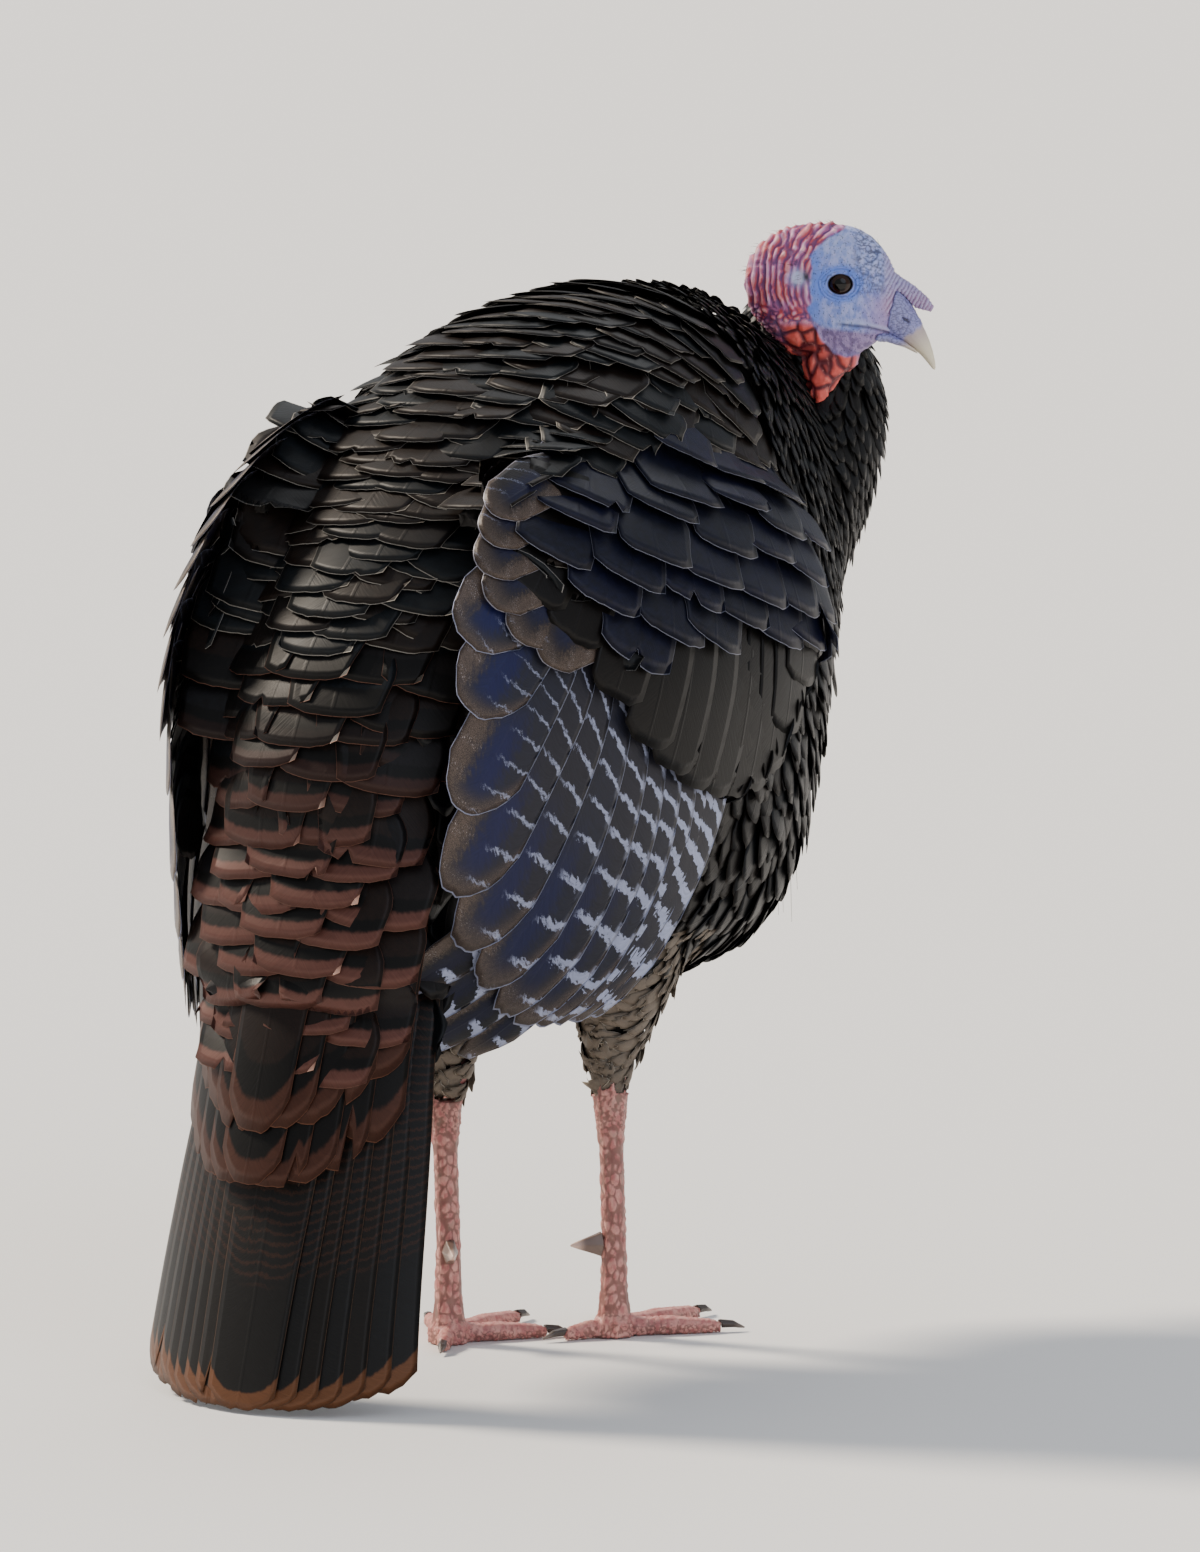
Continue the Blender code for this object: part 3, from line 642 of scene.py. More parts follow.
def copy_of(node: str) -> bpy.types.Object:
    """Copies a solid, free of the frame, so that it can be changed."""
    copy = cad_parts[node].copy()
    copy.data = copy.data.copy()
    copy.parent = None
    copy.hide_render = copy.hide_viewport = False
    for key in [key for key in copy.keys() if key.startswith("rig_")]:
        del copy[key]
    copy.data.materials.clear()
    bpy.context.scene.collection.objects.link(copy)
    return copy


def sphere(
    radius: float, at: Sequence[float] = (0.0, 0.0, 0.0), segments: int = 32, rings: int = 16
) -> bpy.types.Object:
    """Makes a ball.

    Args:
        radius: Its radius in metres.
        at: Its centre in the frame.
        segments: How many faces run round it.
        rings: How many run from pole to pole.

    Returns:
        The object, with its transform applied.
    """
    bpy.ops.object.select_all(action="DESELECT")
    bpy.ops.mesh.primitive_uv_sphere_add(segments=segments, ring_count=rings, radius=radius, location=at)
    bpy.ops.object.transform_apply(location=True)
    return bpy.context.object


def face_outwards(obj: bpy.types.Object, open_sides: int = 0) -> None:
    """Turns all faces outwards, and first closes open ends of up to this many sides."""
    only(obj)
    bpy.ops.object.mode_set(mode="EDIT")
    bpy.ops.mesh.select_all(action="SELECT")
    if open_sides:
        bpy.ops.mesh.fill_holes(sides=open_sides)
    bpy.ops.mesh.normals_make_consistent(inside=False)
    bpy.ops.object.mode_set(mode="OBJECT")


def apply_modifier(obj: bpy.types.Object, kind: str, **settings: object) -> None:
    """Adds a modifier with its settings and applies it."""
    modifier = obj.modifiers.new(kind, kind)
    for key, value in settings.items():
        setattr(modifier, key, value)
    only(obj)
    bpy.ops.object.modifier_apply(modifier=modifier.name)


def boolean(obj: bpy.types.Object, other: bpy.types.Object, operation: str) -> None:
    """Joins or cuts an object with another, which is used up."""
    apply_modifier(obj, "BOOLEAN", object=other, operation=operation, solver="MANIFOLD")
    bpy.data.objects.remove(other)


def merged(name: str, pieces: Sequence[bpy.types.Object], voxel: float, smoothing: int) -> bpy.types.Object:
    """Unites solids into one smooth closed mesh.

    Args:
        name: The new object's name.
        pieces: The solids to unite, which are used up.
        voxel: The size of its faces, in metres.
        smoothing: How many times it is smoothed.

    Returns:
        The object.
    """
    only(pieces[0])
    for piece in pieces[1:]:
        piece.select_set(True)
    if len(pieces) > 1:
        bpy.ops.object.join()
    made = bpy.context.view_layer.objects.active
    made.name = name
    apply_modifier(made, "REMESH", mode="VOXEL", voxel_size=voxel)
    if smoothing:
        apply_modifier(made, "SMOOTH", factor=0.5, iterations=smoothing)
    made.data.shade_smooth()
    return made


def seat(piece: bpy.types.Object, slot: str, *nodes: str) -> None:
    """Makes a piece ride on the body and stand for these solids."""
    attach(piece, "root")
    if nodes:
        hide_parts(*nodes)


# --- Feathers --------------------------------------------------------------------------------
@dataclass(frozen=True)
class Vane:
    """The shape of one kind of feather, in metres.

    The tip of each column of faces ends short of the whole length by round_off times the distance
    from the shaft to the power of squareness, so a high squareness cuts the tip off straight.
    """

    length: float
    half_width: float
    columns: int = 8
    rows: int = 8
    root_width: float = 0.45
    round_off: float = 0.16
    squareness: float = 3.0
    thickness: float = 0.0007
    crown: float = 0.10
    ragged: float = 0.03
    splits: float = 0.25
    taper: float = 0.10
    patch: float = 0.003

    def layout(self) -> tuple[np.ndarray, np.ndarray, np.ndarray, np.ndarray]:
        """Lays out the closed grid of one feather.

        Returns:
            For each vertex its place across (-1 to 1), its place along (0 to 1) and its side
            (1 above, -1 below, 0 on the rim), and the quads.
        """
        rows, columns = self.rows, self.columns
        across, along = np.meshgrid(np.linspace(-1, 1, columns + 1), np.linspace(0, 1, rows + 1))
        rim = (np.abs(across) > 0.999) | (along < 0.001) | (along > 0.999)
        upper = np.arange((rows + 1) * (columns + 1)).reshape(rows + 1, columns + 1)
        lower = upper.copy()
        lower[~rim] = upper.size + np.arange((~rim).sum())
        u = np.concatenate((across.ravel(), across[~rim]))
        v = np.concatenate((along.ravel(), along[~rim]))
        side = np.concatenate((np.where(rim, 0.0, 1.0).ravel(), -np.ones((~rim).sum())))
        quads = []
        for grid, flip in ((upper, False), (lower, True)):
            corners = [grid[:-1, :-1], grid[:-1, 1:], grid[1:, 1:], grid[1:, :-1]]
            quad = np.stack([c.ravel() for c in corners], -1)
            quads.append(quad[:, ::-1] if flip else quad)
        return u, v, side, np.concatenate(quads)


@dataclass
class Lie:
    """How a set of feathers lies: a path for each, its side and upward directions, and sizes.

    The arrays of paths, sides and normals are (feathers, samples, 3); size, tone and order hold
    one number for each feather.
    """

    paths: np.ndarray
    sides: np.ndarray
    normals: np.ndarray
    size: np.ndarray
    tone: np.ndarray
    order: np.ndarray


def body_spot(points: np.ndarray) -> np.ndarray:
    """Unwraps the body like a sleeve, round its length.

    Args:
        points: Places in the frame, an array of (count, 3).

    Returns:
        Their places on the unwrapped skin, from 0 to 1 each way.
    """
    bird = to_bird(points)
    turn = np.arctan2(bird[:, 0], 0.40 - bird[:, 2]) / (2 * math.pi) + 0.5
    length = np.clip((bird[:, 1] + 0.33) / 0.66, 0, 1)
    return 0.01 + 0.98 * np.stack((turn, length), -1)


def feathers(
    name: str, vane: Vane, lie: Lie, finish: bpy.types.Material, seed: int, slot: str, *nodes: str
) -> None:
    """Makes one piece of many feathers, joined in one mesh.

    Args:
        name: The piece's name.
        vane: The shape that they share.
        lie: Where and how each of them lies.
        finish: Their material.
        seed: Picks their small differences.
        slot: Not used.
        *nodes: The solids that they stand for.
    """
    random = np.random.default_rng(seed)
    u, v, side, quads = vane.layout()
    count, samples = lie.paths.shape[:2]
    columns = np.rint((u + 1) / 2 * vane.columns).astype(int)
    frays = random.uniform(-1, 1, (count, vane.columns + 1)) * vane.ragged
    split = random.random((count, vane.columns + 1)) < vane.splits / vane.columns
    split[:, 0] = split[:, -1] = False
    frays = frays - split * random.uniform(0.05, 0.16, (count, 1))
    reach = 1.0 - vane.round_off * np.abs(u) ** vane.squareness
    share = np.clip(v[None] * (reach[None] + frays[:, columns] * v[None] ** 8), 0.0, 1.0)
    at = np.minimum(share, 0.99999) * (samples - 1)
    index = at.astype(int)
    part = (at - index)[..., None]
    rows = np.arange(count)[:, None]

    def along(values: np.ndarray) -> np.ndarray:
        """Reads samples at each vertex's own place along the path."""
        return values[rows, index] * (1 - part) + values[rows, index + 1] * part

    width = vane.root_width + (1 - vane.root_width) * np.sin(np.minimum(v / 0.55, 1.0) * math.pi / 2)
    width = width * (1 - vane.taper * ramp(0.5, 1.0, v))
    half = vane.half_width * width[None] * lie.size[:, None]
    arch = np.abs(u) ** 2
    body = side * vane.thickness * (1 - arch) * (0.4 + 0.6 * np.sin(math.pi * np.clip(v, 0.02, 0.98)))
    wave = 1 + 0.4 * random.uniform(-1, 1, (count, 1)) * np.sin(v * 5.0)[None]
    lift = body[None] - vane.crown * half * arch[None] * wave
    points = along(lie.paths) + (u[None] * half)[..., None] * along(lie.sides)
    points = points + lift[..., None] * unit(along(lie.normals))
    faces = (quads[None] + (np.arange(count) * len(u))[:, None, None]).reshape(-1, 4)
    piece = mesh_object(name, points.reshape(-1, 3), faces)
    put_number(piece, "Tone", np.repeat(lie.tone, len(u)))
    put_number(piece, "Order", np.repeat(lie.order, len(u)))
    flat = np.stack(((u + 1) / 2, v), -1)
    put_map(piece, "Vane", np.tile(flat, (count, 1)))
    spots = body_spot(lie.paths[:, 0])[:, None] + (flat - 0.5)[None] * vane.patch
    put_map(piece, "OFBake", np.clip(spots, 0, 1).reshape(-1, 2))
    piece.data.materials.append(finish)
    seat(piece, slot, *nodes)
    LOG.info("%s: %d feathers, %d triangles", name, count, 2 * len(faces))


# --- The lie of the plumage ------------------------------------------------------------------
# (forward, up) and the direction (forward, up) in which the feathers point there
FLOW = (
    ((0.10, 0.63), (-1.0, 0.0)),
    ((0.20, 0.58), (-0.7, -0.4)),
    ((-0.08, 0.60), (-0.9, -0.4)),
    ((-0.18, 0.50), (-0.6, -0.8)),
    ((-0.24, 0.38), (-0.25, -1.0)),
    ((-0.26, 0.28), (-0.15, -1.0)),
    ((0.05, 0.53), (-0.26, -0.97)),
    ((-0.06, 0.51), (-0.30, -0.95)),
    ((0.14, 0.46), (-0.50, -0.86)),
    ((0.00, 0.38), (-0.45, -0.90)),
    ((-0.12, 0.42), (-0.55, -0.85)),
    ((0.27, 0.42), (-0.10, -1.0)),
    ((0.24, 0.33), (-0.35, -0.95)),
    ((0.16, 0.33), (-0.50, -0.85)),
    ((0.10, 0.22), (-0.85, -0.40)),
    ((-0.05, 0.22), (-1.0, 0.0)),
    ((0.26, 0.50), (0.0, -1.0)),
    ((0.24, 0.58), (0.25, -0.95)),
)
FLOW_REACH = 0.07  # each of those directions counts for about this far


def flow(points: np.ndarray) -> np.ndarray:
    """Gives the direction in which feathers point.

    Args:
        points: Places in the frame, an array of (count, 3).

    Returns:
        Their directions in the frame, not yet laid flat on the skin.
    """
    bird = to_bird(points)
    spots = np.array([spot for spot, _ in FLOW])
    ways = np.array([way for _, way in FLOW])
    distance = np.linalg.norm(bird[:, None, 1:] - spots[None], axis=-1)
    weight = np.exp(-((distance / FLOW_REACH) ** 2)) + 1e-6
    way = (weight[..., None] * ways[None]).sum(1) / weight.sum(1, keepdims=True)
    return unit(np.stack((np.zeros(len(way)), -way[:, 0], way[:, 1]), -1))


class Surface:
    """The smooth outer face of the plumage, which feathers are laid on."""

    def __init__(self, obj: bpy.types.Object) -> None:
        """Reads the surface once, for nearest points and seeds."""
        self.points = points_of(obj)
        self.normals = normals_of(obj)
        obj.data.calc_loop_triangles()
        self.faces = got(obj.data.loop_triangles, "vertices", np.int32, 3)
        self.tree = BVHTree.FromPolygons(self.points.tolist(), self.faces.tolist())

    def nearest(self, points: np.ndarray) -> tuple[np.ndarray, np.ndarray]:
        """Finds the surface under each point.

        Args:
            points: Places in the frame.

        Returns:
            The nearest places on the surface, and the smooth normals there.
        """
        spots = np.empty_like(points)
        normals = np.empty_like(points)
        for index, point in enumerate(points):
            spot, _, face, _ = self.tree.find_nearest(point)
            spots[index] = spot
            corners = self.faces[face]
            gaps = np.linalg.norm(self.points[corners] - spots[index], axis=1) + 1e-5
            normals[index] = (self.normals[corners] / gaps[:, None]).sum(0)
        return spots, unit(normals)

    def seeds(self, count: int, seed: int) -> tuple[np.ndarray, np.ndarray]:
        """Scatters points evenly over the surface.

        Args:
            count: How many.
            seed: Picks the places.

        Returns:
            The places and their normals.
        """
        random = np.random.default_rng(seed)
        a, b, c = (self.points[self.faces[:, k]] for k in range(3))
        area = np.linalg.norm(np.cross(b - a, c - a), axis=1)
        face = random.choice(len(area), count, p=area / area.sum())
        r, s = np.sqrt(random.random((count, 1))), random.random((count, 1))
        weights = (1 - r, r * (1 - s), r * s)
        spots, normals = (
            sum(weight * values[self.faces[face, k]] for k, weight in enumerate(weights))
            for values in (self.points, self.normals)
        )
        return spots, unit(normals)


@dataclass
class Tract:
    """A patch of plumage: which feathers grow there, how closely, and how they lie."""

    slot: str
    name: str
    vane: Vane
    finish: VaneFinish
    where: Callable[[np.ndarray], np.ndarray]
    seed: int
    along: float
    across: float
    root_depth: float
    tip_lift: float
    candidates: int = 20000
    ruffle: float = 0.0010
    samples: int = 7
    order: Callable[[np.ndarray], np.ndarray] | None = None
    rows: Callable[[float, float], np.ndarray] | None = None
    steepest: float = 1.0
    overlap: float = 0.0
    # how far single feathers turn and roll where they are scattered, and where they lie like tiles
    scattered: tuple[float, float] = (0.07, 0.06)
    tiled: tuple[float, float] = (0.035, 0.012)
    jitter: float = 0.04

    def roots(self, surface: Surface) -> np.ndarray:
        """Spaces the roots evenly, closer along the lie than across it.

        Args:
            surface: What they grow on.

        Returns:
            Their places on it. Where the tract has rows, they stand like tiles instead.
        """
        if self.rows is not None:
            spots, _ = surface.nearest(self.rows(self.along, self.across))
            random = np.random.default_rng(self.seed + 7)
            spots, normals = surface.nearest(spots + random.normal(0, self.jitter * self.across, spots.shape))
            return spots[self.where(to_bird(spots)) & (np.abs(normals[:, 0]) < self.steepest)]
        spots, normals = surface.seeds(self.candidates, self.seed)
        inside = self.where(to_bird(spots))
        spots, normals = spots[inside], normals[inside]
        ways = flow(spots)
        ways = unit(ways - (ways * normals).sum(-1, keepdims=True) * normals)
        sides = np.cross(ways, normals)
        kept = np.empty_like(spots)
        count = 0
        for spot, way, side in zip(spots, ways, sides):
            gaps = kept[:count] - spot
            near = (gaps @ way / self.along) ** 2 + (gaps @ side / self.across) ** 2
            if count == 0 or not ((near < 1.0) & (np.abs(gaps).sum(1) < 2 * self.across)).any():
                kept[count] = spot
                count += 1
        return kept[:count]

    def lie(self, surface: Surface) -> Lie:
        """Traces each feather over the surface, from its sunken root to its tip."""
        random = np.random.default_rng(self.seed + 1)
        spots = self.roots(surface)
        count = len(spots)
        size = random.uniform(0.92, 1.08, count)
        step = self.vane.length * size[:, None] / (self.samples - 1)
        turn_by, roll_by = self.tiled if self.overlap else self.scattered
        turn = random.normal(0, turn_by, (count, 1))
        here, normal = surface.nearest(spots)
        way = None
        paths, normals, ways = [], [], []
        for _ in range(self.samples):
            wish = unit(flow(here) + turn * np.cross(normal, flow(here)))
            way = wish if way is None else unit(0.5 * way + 0.5 * wish)
            way = unit(way - (way * normal).sum(-1, keepdims=True) * normal)
            paths.append(here)
            normals.append(normal)
            ways.append(way)
            here, normal = surface.nearest(here + way * step)
        paths, normals, ways = (np.stack(part, 1) for part in (paths, normals, ways))
        share = np.linspace(0, 1, self.samples)[None]
        depth = self.root_depth * (1 - share) ** 1.2
        lift = (self.tip_lift + random.normal(0, self.ruffle, (count, 1))) * share**1.5
        paths = paths + normals * (lift - depth)[..., None]
        roll = random.normal(0, roll_by, (count, 1, 1))
        roll = roll - self.overlap * np.clip(to_bird(spots)[:, 0] / 0.02, -1, 1)[:, None, None]
        sides = unit(np.cross(ways, normals) + roll * normals)
        order = np.zeros(count) if self.order is None else self.order(to_bird(spots))
        return Lie(paths, sides, normals, size, random.random(count), order)

    def build(self, surface: Surface) -> None:
        """Makes the piece."""
        feathers(self.name, self.vane, self.lie(surface), self.finish.material(), self.seed, self.slot)


# forward and up, from the neck to the tail
BACK_LINE = (
    (0.17, 0.625), (0.05, 0.635), (-0.07, 0.605), (-0.165, 0.53), (-0.225, 0.42), (-0.262, 0.30),
    (-0.285, 0.17),
)
BACK_LENGTH = 0.66  # of that line
BACK_RADIUS = 0.125  # how round the back is across it


def back_rows(along: float, across: float) -> np.ndarray:
    """Lays out roots in rows across the back, from the neck to the tail.

    Args:
        along: From row to row.
        across: From root to root in a row.

    Returns:
        Places near the back, an array of (count, 3) in the frame.
    """
    places = []
    for row, share in enumerate(np.arange(0.0, 1.0, along / BACK_LENGTH)):
        here, ahead = through(BACK_LINE, share), heading(BACK_LINE, share)
        inward = np.array((-ahead[1], ahead[0]))
        turn = (np.arange(-12, 13) + 0.5 * (row % 2)) * across / BACK_RADIUS
        turn = turn[np.abs(turn) < 1.5]
        flat = here + inward * (BACK_RADIUS * (1 - np.cos(turn)))[:, None]
        places.append(np.column_stack((BACK_RADIUS * np.sin(turn), flat)))
    return to_frame(np.concatenate(places))


def wing_rows(along: float, across: float) -> np.ndarray:
    """Lays out roots in rows on the coverts of both wings; see back_rows."""
    way = unit(np.array((-0.28, -0.96)))
    side = np.array((way[1], -way[0]))
    down, over = np.meshgrid(np.arange(-10, 11), np.arange(-8, 9), indexing="ij")
    steps = np.stack((down * along, (over + 0.5 * (down % 2)) * across), -1).reshape(-1, 2)
    places = np.array((0.0, 0.50)) + steps[:, :1] * way + steps[:, 1:] * side
    return np.concatenate([WingFace(turned).at(places, np.zeros(len(places))) for turned in (1, -1)])


def laid(
    face: object, routes: np.ndarray, lifts: np.ndarray, size: np.ndarray, order: np.ndarray, seed: int,
    tilt: float = 0.0,
) -> Lie:
    """Lays feathers along routes drawn on a curved face.

    Args:
        face: The face, whose at() turns flat places and lifts into points.
        routes: Flat places, an array of (feathers, samples, 2).
        lifts: How far each stands off the face, an array of (feathers, samples).
        size: The size of each feather.
        order: Its place in its row, from 0 to 1.
        seed: Picks its tone and roll.
        tilt: How steeply each slopes down, from its edge on its left as seen from its root.

    Returns:
        How the feathers lie.
    """
    random = np.random.default_rng(seed)
    nudge = 0.0005
    paths = face.at(routes, lifts)
    first = face.at(routes + (nudge, 0.0), lifts) - paths
    second = face.at(routes + (0.0, nudge), lifts) - paths
    normals = unit(np.cross(first, second))
    outward = face.at(routes, lifts + nudge) - paths
    normals = normals * np.sign((normals * outward).sum(-1, keepdims=True))
    ways = unit(np.gradient(paths, axis=1))
    normals = unit(normals - (normals * ways).sum(-1, keepdims=True) * ways)
    roll = tilt + random.normal(0, 0.004, (len(paths), 1, 1))
    sides = unit(np.cross(ways, normals) + roll * normals)
    return Lie(paths, sides, normals, size, random.random(len(paths)), order)


@dataclass(frozen=True)
class WingFace:
    """The curved outer face of a folded wing; flat places on it are forward and up."""

    side: int
    centre: tuple[float, float] = (-0.03, 0.40)
    outward: float = 0.158
    forward: float = 0.30
    back: float = 0.260
    above: float = 0.205
    below: tuple[float, float] = (0.27, 0.55)

    def at(self, places: np.ndarray, lifts: np.ndarray) -> np.ndarray:
        """Gives the points at these places, this far off the face."""
        ahead, up = places[..., 0] - self.centre[0], places[..., 1] - self.centre[1]
        length = np.where(ahead > 0, self.forward, self.back)
        height = np.where(up > 0, self.above, self.below[0] if self.side > 0 else self.below[1])
        spread = 1.0 - (ahead / length) ** 2 - (up / height) ** 2
        right = self.side * (self.outward * np.sqrt(np.maximum(spread, 0.02)) + lifts)
        return to_frame(np.stack((right, places[..., 0], places[..., 1]), -1))


@dataclass(frozen=True)
class TailFace:
    """The roof-shaped upper face of the tail; flat places on it are right and the share along."""

    line: tuple[tuple[float, float], ...]
    roof: float = 0.034
    half_width: float = 0.092

    def at(self, places: np.ndarray, lifts: np.ndarray) -> np.ndarray:
        """Gives the points at these places, this far off the face."""
        along = places[..., 1]
        here, ahead = through(self.line, along), heading(self.line, along)
        rear = np.stack((ahead[..., 1], -ahead[..., 0]), -1)
        fall = self.roof * (places[..., 0] / self.half_width) ** 2
        over = np.clip(along - 1.0, 0.0, 1.0)[..., None] * 0.3
        here = here + rear * (lifts - fall)[..., None] + ahead * over
        return to_frame(np.stack((places[..., 0], here[..., 0], here[..., 1]), -1))


# --- Stage -----------------------------------------------------------------------------------
def outward(azimuth: float, elevation: float) -> Vector:
    """Gives the direction from the bird to a camera or lamp at these angles in degrees."""
    turn, rise = math.radians(azimuth), math.radians(elevation)
    return Vector((math.sin(turn) * math.cos(rise), -math.cos(turn) * math.cos(rise), math.sin(rise)))


@dataclass
class Studio:
    """Camera, pale floor and soft lights."""

    azimuth: float = 213.0
    elevation: float = 7.0
    distance: float = 7.0
    aim_right: float = 0.0384
    aim_up: float = 0.337
    aim_rear: float = 0.005
    seen_height: float = 0.9312
    sensor: float = 36.0
    floor_size: float = 60.0
    floor_gap: float = 0.0005
    sky: tuple[str, float] = ("#E6EAF0", 0.62)
    # name, azimuth and elevation, strength, softness in degrees, colour
    lamps: tuple = (
        ("key", 97.0, 40.0, 5.4, 12.0, "#FFF1DE"),
        ("fill", 245.0, 32.0, 0.8, 50.0, "#E4ECFF"),
        ("rim", 20.0, 50.0, 0.6, 40.0, "#FFFFFF"),
    )

    def build(self) -> None:
        """Sets up the stage."""
        self.camera()
        self.floor()
        self.lights()

    @staticmethod
    def hang(name: str, data: bpy.types.ID, at: Vector, away: Vector) -> bpy.types.Object:
        """Adds a camera or lamp at a place, looking back along the direction away."""
        made = bpy.data.objects.new(name, data)
        made.location = at
        made.rotation_euler = away.to_track_quat("Z", "Y").to_euler()
        bpy.context.scene.collection.objects.link(made)
        return made

    def camera(self) -> None:
        """Adds the camera, which looks at the bird's back from its right."""
        back = outward(self.azimuth, self.elevation)
        turn = math.radians(self.azimuth)
        right = Vector((math.cos(turn), math.sin(turn), 0.0))
        aim = right * self.aim_right + back.cross(right) * self.aim_up + Vector((0, self.aim_rear, 0))
        data = bpy.data.cameras.new("camera")
        data.sensor_width = self.sensor
        data.lens = self.sensor * self.distance / self.seen_height
        data.clip_end = 100.0
        bpy.context.scene.camera = self.hang("camera", data, aim + back * self.distance, back)

    def floor(self) -> None:
        """Adds the pale floor."""
        bpy.ops.object.select_all(action="DESELECT")
        bpy.ops.mesh.primitive_plane_add(size=self.floor_size, location=(0, 0, -self.floor_gap))
        floor = bpy.context.object
        floor.name = "floor"
        paper = Plain("matt_studio_paper", "#ECEBE9", "#F2F1EF", 0.85, 0.4, 2.0)
        floor.data.materials.append(paper.material())

    def lights(self) -> None:
        """Adds a large key on the bird's left, a fill, a rim and a pale sky."""
        world = bpy.data.worlds.new("sky")
        world.use_nodes = True
        background = world.node_tree.nodes["Background"]
        background.inputs["Color"].default_value = linear(self.sky[0])
        background.inputs["Strength"].default_value = self.sky[1]
        bpy.context.scene.world = world
        for name, azimuth, elevation, strength, softness, colour in self.lamps:
            data = bpy.data.lights.new(name, "SUN")
            data.energy = strength
            data.angle = math.radians(softness)
            data.color = linear(colour)[:3]
            away = outward(azimuth, elevation)
            self.hang(name, data, away * 3.2, away)


# --- The bird --------------------------------------------------------------------------------
SKIN_NODES = ("trunk", "neck", "thigh_left", "thigh_right", "wing_left_coverts", "wing_right_coverts")
LEG_NODES = ("shank_left", "shank_right", "foot_left", "foot_right")
HEAD_NODES = ("head", "snood", "wattle")
BED_NODES = SKIN_NODES + ("tail_coverts_short", "tail_coverts_long", "tail", "shank_left", "shank_right")


def head_local(points: np.ndarray) -> np.ndarray:
    """Turns the frame's points into the head's own directions.

    Args:
        points: Places in the frame, an array of (count, 3).

    Returns:
        Millimetres ahead, up and aside from between the eyes; aside is to the head's right.
    """
    off = (to_bird(points) - np.array(HEAD_AT)) / MM
    sine, cosine = math.sin(HEAD_TURN), math.cos(HEAD_TURN)
    ahead = off[:, 0] * sine + off[:, 1] * cosine
    aside = off[:, 0] * cosine - off[:, 1] * sine
    return np.stack((ahead, off[:, 2], aside), -1)


def head_frame(local: np.ndarray) -> np.ndarray:
    """Turns the head's own millimetres back into the frame's points; see head_local."""
    sine, cosine = math.sin(HEAD_TURN), math.cos(HEAD_TURN)
    right = local[..., 0] * sine + local[..., 2] * cosine
    forward = local[..., 0] * cosine - local[..., 2] * sine
    return to_frame(np.stack((right, forward, local[..., 1]), -1) * MM + np.array(HEAD_AT))


def flesh_gap(points: np.ndarray) -> np.ndarray:
    """Measures how far each point is from the solids of the bare head."""
    flesh = [copy_of(node) for node in HEAD_NODES]
    trees = [Surface(piece).tree for piece in flesh]
    for piece in flesh:
        bpy.data.objects.remove(piece)
    return np.array([min(tree.find_nearest(point)[3] for tree in trees) for point in points])


def soft_noise(points: np.ndarray, *grain: float) -> np.ndarray:
    """Gives smooth noise from -1 to 1, whose lumps have this size each way."""
    return np.array([noise.noise(point) for point in points / np.array(grain)])


def cell_noise(points: np.ndarray, *grain: float) -> np.ndarray:
    """Gives rounded lumps with creases between them: 0 in a crease, and about 1 on top."""
    gaps = np.array([noise.voronoi(point)[0][:2] for point in points / np.array(grain)])
    return ramp(0.0, 0.55, gaps[:, 1] - gaps[:, 0])


def bump(value: np.ndarray, at: float, width: float) -> np.ndarray:
    """Gives a smooth hump: 1 at this value, and nearly 0 two widths away."""
    return np.exp(-(((value - at) / width) ** 2))


